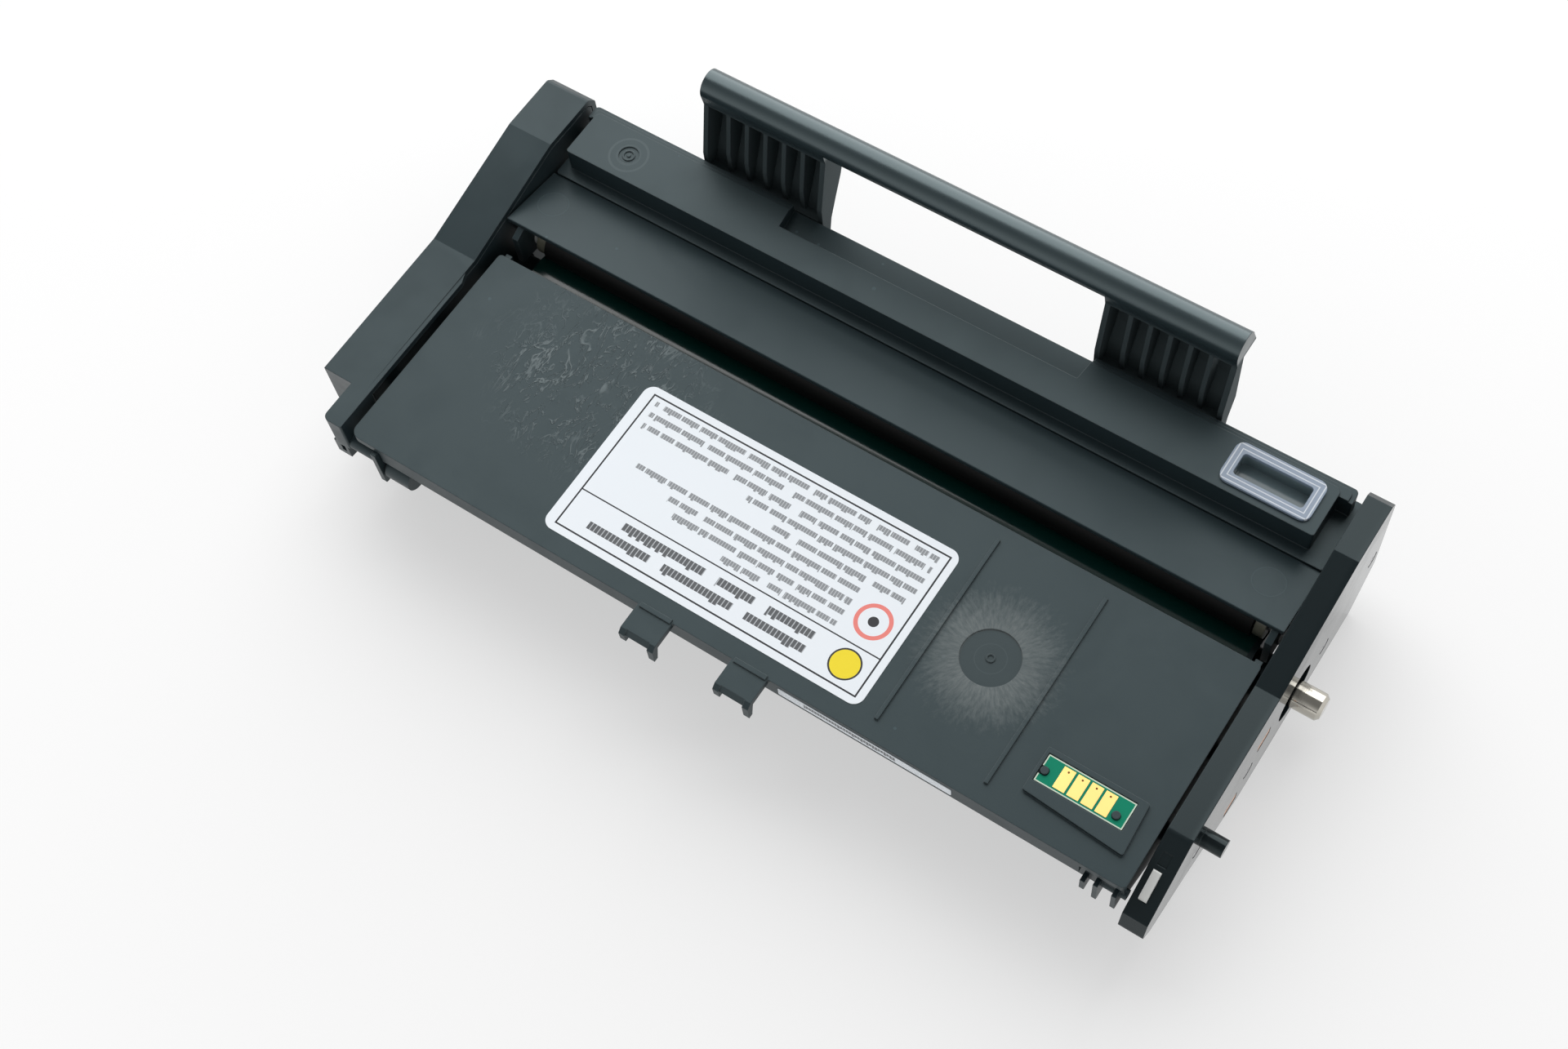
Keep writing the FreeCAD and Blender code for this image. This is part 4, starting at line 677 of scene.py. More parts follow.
class Surface(Graph):
    """A material with a Principled shader and the marks that every surface carries."""

    def __init__(self, finish: Finish, effects: EffectLibrary) -> None:
        """Make the material with its plain values, grain, smudges, scratches and dust.

        Args:
            finish: how it looks.
            effects: the shared groups.
        """
        self.finish = finish
        self.effects = effects
        self.material = bpy.data.materials.new(finish.name)
        self.material.use_nodes = True
        super().__init__(self.material.node_tree)
        self.tree.nodes.clear()
        self.shader = self.node("ShaderNodeBsdfPrincipled")
        output = self.node("ShaderNodeOutputMaterial")
        self.feed(output.inputs[0], self.shader.outputs[0])
        self.place = self.node("ShaderNodeTexCoord").outputs["Object"]
        for name, value in (
            ("Metallic", finish.metallic),
            ("Coat Weight", finish.coat),
            ("Coat Roughness", COAT_ROUGHNESS),
            ("Specular IOR Level", finish.specular),
            ("Specular Tint", finish.shine),
        ):
            self.feed(self.shader.inputs[name], value)
        grain = self.call(effects.grain, Scale=finish.grain_scale)
        smudge = self.mark(effects.smudge)
        scratch = self.mark(effects.scratch, Amount=finish.scratches)
        dust = self.mark(effects.specks, Share=finish.dust)
        light = lifted(finish.colour, 1.9, 0.004, 1.0)
        toned = self.mix(self.times(grain.outputs["Tone"], finish.tone), finish.colour, light)
        worn = self.mix(self.times(scratch, WEAR_SHARE), toned, light)
        pale = lifted(finish.colour, 4.0, 0.02, 0.4)
        self.colour: Socket = self.mix(self.times(dust, WEAR_SHARE), worn, pale)
        self.rounded = self.node("ShaderNodeBevel", samples=4)
        self.rounded.inputs["Radius"].default_value = finish.bevel * MM
        self.roughness: Socket = self.add(
            finish.roughness,
            self.times(self.minus(smudge, 0.4), finish.smudges),
            self.times(grain.outputs["Tone"], 0.04),
            self.times(scratch, 0.08),
            self.times(dust, 0.1),
        )
        self.heights: list[tuple[Socket, float, float]] = []
        self.raise_by(grain.outputs["Height"], finish.grain, 0.00004)
        self.raise_by(scratch, -0.25, 0.00003)

    def painted_edge_highlights(self) -> Socket:
        """Find the convex and concave edges, where the rounded normal leaves the flat one, to paint a pale
        highlight along them.

        Returns:
            A mask that is bright along the edges.
        """
        flat = self.node("ShaderNodeNewGeometry").outputs["True Normal"]
        along = self.node("ShaderNodeVectorMath", operation="DOT_PRODUCT")
        self.feed(along.inputs[0], self.rounded.outputs[0])
        self.feed(along.inputs[1], flat)
        return self.ramp(along.outputs["Value"], EDGE_SHARP, EDGE_FLAT, 1.0, 0.0)

    def call(self, effect: Effect, **values: Union[Number, Point]) -> bpy.types.Node:
        """Use a shared group, read at the material's own place unless a Vector is given.

        Args:
            effect: the group.
            values: what its inputs get.

        Returns:
            The group node.
        """
        made = self.node("ShaderNodeGroup", node_tree=effect.group)
        for name, value in {"Vector": self.place, **values}.items():
            self.feed(made.inputs[name], value)
        return made

    def mark(self, effect: Effect, **values: Union[Number, Point]) -> Socket:
        """Use a shared group for its mask alone.

        Args:
            effect: the group.
            values: what its inputs get.

        Returns:
            The mask.
        """
        return self.call(effect, **values).outputs["Mask"]

    def inner_block(
        self, low: Sequence[float], high: Sequence[float], inset: float, **values: Socket
    ) -> Socket:
        """Mark a rectangle that lies a little inside two corners.

        Args:
            low: the lowest corner.
            high: the highest corner.
            inset: how far inside it lies.
            values: what else the group's inputs get.

        Returns:
            The mask.
        """
        corners = {
            "Low": (low[0] + inset, low[1] + inset, 0.0),
            "High": (high[0] - inset, high[1] - inset, 0.0),
        }
        return self.mark(self.effects.block, **corners, **values)

    def see_through(self, share: float) -> None:
        """Let light pass.

        Args:
            share: share of light that passes.
        """
        self.shader.inputs["Transmission Weight"].default_value = share
        self.shader.inputs["IOR"].default_value = PLASTIC_IOR

    def raise_by(self, height: Socket, strength: float, distance: float) -> None:
        """Add a relief to the surface.

        Args:
            height: the relief.
            strength: how strong it is, and inwards when below 0.
            distance: depth in metres.
        """
        self.heights.append((height, strength, distance))

    def cover(self, mask: Socket, colour: Union[Socket, Colour], roughness: Optional[float] = None) -> None:
        """Put a second colour over the first where a mask is bright.

        Args:
            mask: where it shows.
            colour: the colour.
            roughness: its roughness, if it has its own.
        """
        self.colour = self.mix(mask, self.colour, colour)
        if roughness is not None:
            change = self.times(self.minus(roughness, self.roughness), mask)
            self.roughness = self.add(self.roughness, change)

    def done(self) -> bpy.types.Material:
        """Paint a pale highlight along the edges, and link the last colour, roughness and reliefs.

        Returns:
            The finished material.
        """
        if self.finish.edges:
            # Painted highlight: a paler colour along the edges.
            self.cover(self.times(self.painted_edge_highlights(), self.finish.edges), PAINTED_EDGE_HIGHLIGHT)
        self.feed(self.shader.inputs["Base Color"], self.colour)
        self.feed(self.shader.inputs["Roughness"], self.maths(Maths.LARGER, self.roughness, SMOOTHEST))
        normal = self.rounded.outputs[0]
        for height, strength, distance in self.heights:
            bump = self.node("ShaderNodeBump", invert=strength < 0)
            bump.inputs["Strength"].default_value = min(1.0, abs(strength))
            bump.inputs["Distance"].default_value = distance
            self.feed(bump.inputs["Height"], height)
            self.feed(bump.inputs["Normal"], normal)
            normal = bump.outputs[0]
        self.feed(self.shader.inputs["Normal"], normal)
        return self.material


COOL = (0.80, 0.97, 1.0)
BLACK = (0.014, 0.0235, 0.0275)
HANDLE_BLACK = (0.017, 0.027, 0.031)
DEEP_BLACK = (0.008, 0.0125, 0.0145)
SHELL = Finish("black_shell_satin", BLACK, 0.38, specular=0.44, edges=0.4, shine=COOL)
LID = Finish(
    "black_lid_grained", BLACK, 0.42, specular=0.42, edges=0.4, grain=0.3, grain_scale=1900.0,
    scratches=0.45, shine=COOL,
)
COVER = Finish(
    "black_cover_smooth", BLACK, 0.34, specular=0.36, edges=0.4, smudges=0.18, scratches=0.14, shine=COOL
)
HANDLE = Finish("black_handle_satin", HANDLE_BLACK, 0.28, specular=1.0, grain=0.2, shine=COOL)
GLOSSY = Finish("glossy_black_cover", DEEP_BLACK, 0.12, specular=0.32, smudges=0.08, grain=0.03, shine=COOL)
PANEL = Finish("grey_panel_satin", BLACK, 0.36, specular=0.33, edges=0.4, grain=0.1, shine=COOL)
DARK_GEAR = Finish("black_gear_plastic", BLACK, 0.34, specular=0.4, grain=0.06, bevel=0.08, shine=COOL)
STEEL = Finish("brushed_steel", (0.56, 0.56, 0.57), 0.3, metallic=1.0, grain=0.02, dust=0.0, bevel=0.1)
CHROME = Finish("polished_chrome", (0.48, 0.46, 0.41), 0.06, metallic=1.0, grain=0.0, dust=0.01, bevel=0.1)
GOLD = Finish("gold_pads", (0.82, 0.50, 0.17), 0.34, metallic=1.0, grain=0.0, dust=0.0, bevel=0.02)
COPPER = Finish("copper_contacts", (0.8, 0.38, 0.18), 0.25, metallic=1.0, grain=0.0, bevel=0.05)
DRUM = Finish(
    "teal_drum_coat", (0.003, 0.042, 0.036), 0.12, coat=0.5, grain=0.0, dust=0.0, scratches=0.02, bevel=0.05
)
ROLL = Finish(
    "brown_black_rubber", (0.007, 0.0075, 0.0075), 0.5, specular=0.22, grain=0.2, dust=0.01, bevel=0.1
)
FOAM = Finish("grey_foam", (0.07, 0.07, 0.075), 0.9, grain=0.0, dust=0.0, bevel=0.1)
URETHANE = Finish("amber_urethane", (0.42, 0.25, 0.09), 0.35, grain=0.03, bevel=0.1)
PALE = Finish("pale_plastic", (0.7, 0.71, 0.69), 0.42, grain=0.1, bevel=0.15)
COLLAR = Finish("worn_pale_collar", (0.17, 0.17, 0.13), 0.4, grain=0.1, bevel=0.15)
GEAR = Finish("ivory_gear_plastic", (0.66, 0.65, 0.6), 0.36, grain=0.06, bevel=0.08)
PAPER = Finish(
    "label_paper", (0.81, 0.855, 0.90), 0.42, specular=0.3, grain=0.05, grain_scale=3600.0,
    scratches=0.0, dust=0.01, tone=0.03, bevel=0.05,
)
BOARD = Finish("green_board", (0.001, 0.21, 0.12), 0.5, specular=0.12, grain=0.05, dust=0.0, bevel=0.05)
DARK_FILM = Finish("dark_film", (0.02, 0.026, 0.028), 0.3, specular=0.3, grain=0.0, bevel=0.02)
FILM = Finish("clear_film", (0.5, 0.52, 0.54), 0.16, grain=0.0, bevel=0.02)
WINDOW = Finish("clear_window", (0.27, 0.34, 0.44), 0.16, grain=0.0, scratches=0.0, dust=0.0, bevel=0.3)
INK = (0.02, 0.022, 0.026)
EDGE_INK = (0.03, 0.03, 0.035)
YELLOW = (0.88, 0.70, 0.01)
CORAL = (0.82, 0.22, 0.19)
FLOW_PALE = (0.12, 0.14, 0.145)
LID_MOTTLE = (0.026, 0.038, 0.042)
HALO_PALE = (0.15, 0.165, 0.165)
DISC_DARK = (0.007, 0.013, 0.0155)
DISC_RING = (0.05, 0.065, 0.07)
# Painted shade for the handle's ribbed uprights.
UPRIGHT_PAINTED_SHADE = (0.010, 0.0165, 0.0195)
LID_TOUCH = (0.007, 0.0135, 0.016)
GATE_RING = (0.07, 0.085, 0.09)
COVER_TOUCH = (0.006, 0.012, 0.0145)
BOARD_RIM = (0.62, 0.72, 0.6)
# Painted shade for the small hole in each gold pad.
PAD_HOLE_PAINTED_SHADE = (0.16, 0.09, 0.03)
# Painted shade for the pits of the foam cells.
FOAM_PIT_PAINTED_SHADE = (0.015, 0.015, 0.016)
PIN_RING = (0.045, 0.065, 0.072)
PIN_DISC = (0.022, 0.034, 0.039)
# Painted light: the window's sunken floor is lifted to make up for its shade.
WINDOW_FLOOR_PAINTED_LIGHT = (0.19, 0.255, 0.275)
# Painted highlight along the window's steps.
WINDOW_PAINTED_EDGE_HIGHLIGHT = (0.85, 0.90, 0.95)
WINDOW_DROPS = (0.30, 0.36, 0.38)


@dataclass(frozen=True)
class LabelPlan:
    """Where the plain shapes lie on the main label, in millimetres from its front-left corner."""

    width: float = 102.1
    depth: float = 51.4
    border_left: float = 3.1
    border_right: float = 2.1
    border: float = 2.1
    line: float = 0.5
    strip: float = 14.3
    disc: tuple[float, float] = (92.6, 8.6)
    disc_radius: float = 4.6
    disc_edge: float = 0.5
    ring: tuple[float, float] = (92.4, 22.6)
    ring_radius: float = 5.3
    ring_width: float = 1.2
    dot_radius: float = 1.5
    row_height: float = 2.0
    rows: tuple[tuple[float, float, float], ...] = (
        (5.2, 97.4, 46.6),
        (5.6, 97.4, 43.0),
        (6.0, 97.4, 39.2),
        (43.4, 97.4, 35.5),
        (54.0, 97.4, 31.7),
        (12.0, 84.4, 28.0),
        (25.4, 84.4, 24.2),
        (28.6, 84.4, 20.5),
        (47.8, 84.4, 16.8),
    )
    heading_height: float = 3.0
    headings: tuple[tuple[float, float, float], ...] = (
        (19.8, 46.4, 10.7),
        (50.7, 62.4, 10.7),
        (66.7, 81.4, 10.7),
        (11.4, 31.5, 6.1),
        (35.8, 58.3, 6.1),
        (62.6, 81.4, 6.1),
    )


@dataclass(frozen=True)
class SurfaceMarks:
    """Places and sizes of the marks on the pieces, in millimetres."""

    gate: Point = (64.4, -29.0, 0.0)
    disc: float = 8.1
    halo: tuple[float, float] = (8.2, 22.0)
    disc_ring: tuple[float, float] = (4.1, 4.4)
    flow: Point = (-72.0, -14.0, 0.0)
    flow_reach: Point = (40.0, 34.0, 1000.0)
    top_gate: Point = (-105.0, 48.3, 0.0)
    top_rings: tuple[tuple[float, float, float], ...] = ((5.4, 6.1, 0.35), (3.3, 3.7, 0.25))
    pins: tuple[Point, ...] = ((-117.6, 26.3, 0.0), (114.5, 26.3, 0.0))
    pin_ring: tuple[float, float] = (4.3, 4.7)
    # Depths below the handle's top over which the uprights turn rougher and are painted darker as shade.
    polished: tuple[float, float] = (10.0, 7.0)
    satin_rim: tuple[float, float] = (130.5, 132.0)
    board_rim: float = 0.35
    # Size and place of the painted shade disc for each pad's hole.
    pad_hole: float = 0.3
    pad_hole_inset: float = 1.0
    sunken: tuple[float, float] = (1.6, 0.5)
    # Insets and widths of the painted highlight lines on the window's steps.
    window_highlight_lines: tuple[tuple[float, float], ...] = ((0.5, 0.35), (1.9, 0.3))
    edge_bar: tuple[Point, Point] = ((8.0, 0.8, 0.0), (36.0, 2.9, 0.0))


class FinishLibrary:
    """Every material, each built once from the shared effects."""

    def __init__(self, effects: EffectLibrary) -> None:
        """Keep the effects.

        Args:
            effects: the shared groups.
        """
        self.effects = effects
        self.marks = SurfaceMarks()

    @cache
    def plain(self, finish: Finish) -> bpy.types.Material:
        """A surface with only the marks that every surface carries.

        Args:
            finish: how it looks.

        Returns:
            The material.
        """
        return Surface(finish, self.effects).done()

    def ring(self, surface: Surface, centre: Point, inner: float, outer: float) -> Socket:
        """Mark a disc or ring.

        Args:
            surface: the material it lies in.
            centre: its centre, in millimetres.
            inner: its inner radius, in millimetres.
            outer: its outer radius, in millimetres.

        Returns:
            The mask.
        """
        sizes = {"Centre": metres(centre), "Inner": inner * MM, "Outer": outer * MM}
        return surface.mark(self.effects.round_mark, **sizes)

    def lid(self) -> bpy.types.Material:
        """The grained front lid with its flow marks and the pale burst round its gate.

        Returns:
            The material.
        """
        marks = self.marks
        surface = Surface(LID, self.effects)
        reach = metres(marks.flow_reach)
        flow = surface.call(self.effects.flow, Centre=metres(marks.flow), Reach=reach).outputs["Height"]
        surface.raise_by(flow, 0.8, 0.00015)
        surface.cover(surface.times(flow, 0.9), FLOW_PALE)
        mottle = surface.noise(surface.place, 38.0, 5.0, 0.65, 0.4)
        surface.cover(surface.ramp(mottle, 0.40, 0.75, 0.0, 0.4), LID_MOTTLE)
        inner, outer = marks.halo
        gate = metres(marks.gate)
        halo = surface.mark(self.effects.halo, Centre=gate, Inner=inner * MM, Outer=outer * MM)
        surface.cover(surface.times(halo, 0.85), HALO_PALE, 0.6)
        disc = self.ring(surface, marks.gate, 0.0, marks.disc)
        surface.cover(surface.times(disc, 0.5), DISC_DARK)
        ring = self.ring(surface, marks.gate, *marks.disc_ring)
        surface.cover(surface.times(ring, 0.3), DISC_RING)
        return surface.done()

    def handle(self, top: float) -> bpy.types.Material:
        """The handle: a bar smoothed by hands above duller ribbed uprights, which are painted darker as
        shade.

        Args:
            top: height of the bar's top, in metres.

        Returns:
            The material.
        """
        surface = Surface(HANDLE, self.effects)
        _, _, z = surface.parts(surface.place)
        dull, bright = metres(self.marks.polished)
        below = surface.ramp(z, top - dull, top - bright, 1.0, 0.0)
        # Painted shade: the uprights below the bar get a darker colour, and they are also rougher.
        surface.cover(below, UPRIGHT_PAINTED_SHADE, 0.75)
        return surface.done()

    def lid_top(self) -> bpy.types.Material:
        """The raised lid with the pale rings round its gate and soft hand marks.

        Returns:
            The material.
        """
        surface = Surface(SHELL, self.effects)
        touch = surface.mark(self.effects.smudge, Scale=26.0)
        surface.cover(surface.times(touch, 0.4), LID_TOUCH, 0.46)
        for inner, outer, strength in self.marks.top_rings:
            ring = self.ring(surface, self.marks.top_gate, inner, outer)
            surface.cover(surface.times(ring, strength), GATE_RING)
        return surface.done()

    def handled_cover(self) -> bpy.types.Material:
        """The left cover, with soft dark marks where hands have held it.

        Returns:
            The material.
        """
        surface = Surface(COVER, self.effects)
        touch = surface.mark(self.effects.smudge, Scale=22.0)
        surface.cover(surface.times(touch, 0.5), COVER_TOUCH, 0.42)
        return surface.done()

    def glossy_cover(self) -> bpy.types.Material:
        """The right cover: glossy outside with satin rims.

        Returns:
            The material.
        """
        surface = Surface(GLOSSY, self.effects)
        x, _, _ = surface.parts(surface.place)
        inner = surface.ramp(x, *metres(self.marks.satin_rim), 1.0, 0.0)
        surface.cover(inner, DEEP_BLACK, 0.26)
        return surface.done()

    def label(self, plan: LabelPlan, low: Vector) -> bpy.types.Material:
        """The white label with a thin frame, rows of grey bars, a yellow disc and a coral ring.

        Args:
            plan: where the shapes lie.
            low: lowest corner of the label.

        Returns:
            The material.
        """
        surface = Surface(PAPER, self.effects)
        place = surface.placed(
            surface.place, (-low.x / MM, -low.y / MM, 0.0), (0, 0, 0), (1 / MM, 1 / MM, 0.0)
        )
        left, right = plan.border_left, plan.width - plan.border_right
        corners = ((left, plan.border), (right, plan.depth - plan.border))
        outer = surface.inner_block(*corners, 0.0, Vector=place)
        inner = surface.inner_block(*corners, plan.line, Vector=place)
        surface.cover(surface.minus(outer, inner), INK, 0.5)
        edges = ((left, plan.strip), (right, plan.strip + plan.line * 0.8))
        surface.cover(surface.inner_block(*edges, 0.0, Vector=place), INK, 0.5)
        prints = ((plan.rows, plan.row_height, 0.13, 0.7), (plan.headings, plan.heading_height, 0.0, 0.9))
        for lines, height, gap, strength in prints:
            total: Number = 0.0
            for start, end, middle in lines:
                low_corner, high_corner = (start, middle - height / 2, 0), (end, middle + height / 2, 0)
                bar = surface.mark(
                    self.effects.bar, Vector=place, Low=low_corner, High=high_corner, Word=7.0, Gap=gap
                )
                total = surface.add(total, bar)
            surface.cover(surface.times(total, strength), INK, 0.5)
        spots = (
            (plan.disc, 0.0, plan.disc_radius, INK),
            (plan.disc, 0.0, plan.disc_radius - plan.disc_edge, YELLOW),
            (plan.ring, plan.ring_radius - plan.ring_width, plan.ring_radius, CORAL),
            (plan.ring, 0.0, plan.dot_radius, INK),
        )
        for centre, hole, radius, colour in spots:
            spot = surface.mark(
                self.effects.round_mark, Vector=place, Centre=(*centre, 0.0), Inner=hole, Outer=radius
            )
            surface.cover(spot, colour, 0.4)
        return surface.done()

    def edge_label(self, low: Vector) -> bpy.types.Material:
        """The narrow white strip with one short row of bars.

        Args:
            low: lowest corner of the strip.

        Returns:
            The material.
        """
        surface = Surface(PAPER, self.effects)
        x, _, z = surface.parts(surface.place)
        along = surface.times(surface.minus(x, low.x), 1 / MM)
        up = surface.times(surface.minus(z, low.z), 1 / MM)
        place = surface.vector(along, up, 0.0)
        start, end = self.marks.edge_bar
        bar = surface.mark(self.effects.bar, Vector=place, Low=start, High=end, Gap=0.0)
        surface.cover(surface.times(bar, 0.8), EDGE_INK, 0.5)
        return surface.done()

    def board(self, low: Vector, high: Vector) -> bpy.types.Material:
        """The green board with its pale printed border.

        Args:
            low: lowest corner of the board.
            high: highest corner of the board.

        Returns:
            The material.
        """
        surface = Surface(BOARD, self.effects)
        inside = surface.inner_block(low, high, self.marks.board_rim * MM)
        surface.cover(surface.minus(1.0, inside), BOARD_RIM, 0.4)
        return surface.done()

    def pads(self, boxes: list[tuple[Vector, Vector]]) -> bpy.types.Material:
        """The gold pads, with a small dark disc painted as the shade of the plated hole near the back edge
        of each.

        Args:
            boxes: the corners of each pad.

        Returns:
            The material.
        """
        surface = Surface(GOLD, self.effects)
        for low, high in boxes:
            centre = ((low.x + high.x) / 2, high.y - self.marks.pad_hole_inset * MM, 0.0)
            hole = surface.mark(self.effects.round_mark, Centre=centre, Outer=self.marks.pad_hole * MM)
            # Painted shade where the hole is.
            surface.cover(hole, PAD_HOLE_PAINTED_SHADE, 0.6)
        return surface.done()

    @cache
    def turned(self, finish: Finish, strength: float) -> bpy.types.Material:
        """A turned or ground bar or roller.

        Args:
            finish: how it looks.
            strength: depth of the fine lines.

        Returns:
            The material.
        """
        surface = Surface(finish, self.effects)
        lathe = surface.call(self.effects.lathe)
        surface.raise_by(lathe.outputs["Height"], strength, 0.00002)
        surface.roughness = surface.add(surface.roughness, surface.times(lathe.outputs["Band"], 0.08))
        surface.material.name = finish.name + "_turned"
        return surface.done()

    @cache
    def foam(self) -> bpy.types.Material:
        """Open-celled foam rubber, with painted shade in the low parts of the cells.

        Returns:
            The material.
        """
        surface = Surface(FOAM, self.effects)
        cells = surface.call(self.effects.foam).outputs["Height"]
        surface.raise_by(cells, 0.9, 0.0002)
        # Painted shade: darker where the cells are low.
        surface.cover(surface.times(surface.minus(1.0, cells), 0.6), FOAM_PIT_PAINTED_SHADE)
        return surface.done()

    def shield(self) -> bpy.types.Material:
        """The smooth shield with the faint rings of two ejector pins.

        Returns:
            The material.
        """
        surface = Surface(PANEL, self.effects)
        for centre in self.marks.pins:
            ring = self.ring(surface, centre, *self.marks.pin_ring)
            surface.raise_by(ring, 0.5, 0.0001)
            surface.cover(surface.times(ring, 0.35), PIN_RING)
            inside = self.ring(surface, centre, 0.0, self.marks.pin_ring[0])
            surface.cover(surface.times(inside, 0.3), PIN_DISC)
        return surface.done()

    def window(self, low: Vector, high: Vector) -> bpy.types.Material:
        """The moulded window: a milky rim with pale lines painted as highlights along its two steps, and a
        clear sunken floor whose colour is lifted as painted light.

        Args:
            low: lowest corner of the window.
            high: highest corner of the window.

        Returns:
            The material.
        """
        surface = Surface(WINDOW, self.effects)
        _, _, z = surface.parts(surface.place)
        bottom, rim = metres(self.marks.sunken)
        sunken = surface.ramp(z, high.z - bottom, high.z - rim, 1.0, 0.0)
        # Painted light: the sunken floor's colour is lifted to make up for its shade.
        surface.cover(sunken, WINDOW_FLOOR_PAINTED_LIGHT, 0.12)
        for inset, wide in self.marks.window_highlight_lines:
            outer = surface.inner_block(low, high, inset * MM)
            inner = surface.inner_block(low, high, (inset + wide) * MM)
            line = surface.times(surface.minus(outer, inner), surface.minus(1.0, sunken))
            # Painted highlight along each step of the rim.
            surface.cover(surface.times(line, 0.7), WINDOW_PAINTED_EDGE_HIGHLIGHT)
        drops = surface.mark(self.effects.specks, Scale=330.0, Share=0.35)
        surface.cover(surface.times(drops, sunken, 0.5), WINDOW_DROPS)
        surface.raise_by(drops, 0.5, 0.0002)
        surface.see_through(0.22)
        return surface.done()

    def film(self) -> bpy.types.Material:
        """The cloudy film of the stirrer.

        Returns:
            The material.
        """
        surface = Surface(FILM, self.effects)
        surface.see_through(0.4)
        return surface.done()


class Assembly:
    """A group of pieces that is dressed together."""

    title = "assembly"

    def __init__(self, finishes: FinishLibrary) -> None:
        """Keep the finishes.

        Args:
            finishes: the materials.
        """
        self.finishes = finishes

    def dress(self, node: str, material: bpy.types.Material) -> None:
        """Give a CAD node its material.

        Args:
            node: the node's name.
            material: the material.
        """
        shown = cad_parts[node]
        for index in range(len(shown.data.materials)):
            shown.data.materials[index] = material
        LOG.info("%s: %s takes %s", self.title, node, material.name)

    def dress_plain(self, finish: Finish, *nodes: str) -> None:
        """Give several CAD nodes the same plain finish.

        Args:
            finish: how they look.
            nodes: their names.
        """
        for node in nodes:
            self.dress(node, self.finishes.plain(finish))

    def piece(
        self, name: str, mesh: bmesh.types.BMesh, material: bpy.types.Material, body: str, slot: str
    ) -> bpy.types.Object:
        """Turn a mesh into a piece that rides on a CAD body.

        Args:
            name: the piece's name.
            mesh: its mesh, in metres.
            material: its material.
            body: the CAD body that it rides on.
            slot: not used.

        Returns:
            The object.
        """
        data = bpy.data.meshes.new(name)
        mesh.to_mesh(data)
        mesh.free()
        made = bpy.data.objects.new(name, data)
        bpy.context.scene.collection.objects.link(made)
        made.data.materials.append(material)
        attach(made, body)
        LOG.info("%s: added %s with %d faces", self.title, name, len(data.polygons))
        return made

    def build(self) -> None:
        """Dress the assembly."""
        raise NotImplementedError


def solids(node: str) -> list[tuple[Vector, Vector]]:
    """Find the separate solids of a CAD node.

    Args:
        node: the node's name.

    Returns:
        The lowest and highest corner of each solid, in metres, from left to right.
    """
    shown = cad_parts[node]
    mesh = bmesh.new()
    mesh.from_mesh(shown.data)
    mesh.transform(shown.matrix_world)
    bmesh.ops.remove_doubles(mesh, verts=mesh.verts, dist=0.001 * MM)
    waiting = set(mesh.verts)
    boxes = []
    while waiting:
        found = [waiting.pop()]
        for vert in found:
            for edge in vert.link_edges:
                other = edge.other_vert(vert)
                if other in waiting:
                    waiting.remove(other)
                    found.append(other)
        low = Vector(min(vert.co[axis] for vert in found) for axis in range(3))
        high = Vector(max(vert.co[axis] for vert in found) for axis in range(3))
        boxes.append((low, high))
    mesh.free()
    return sorted(boxes, key=lambda box: tuple(box[0]))


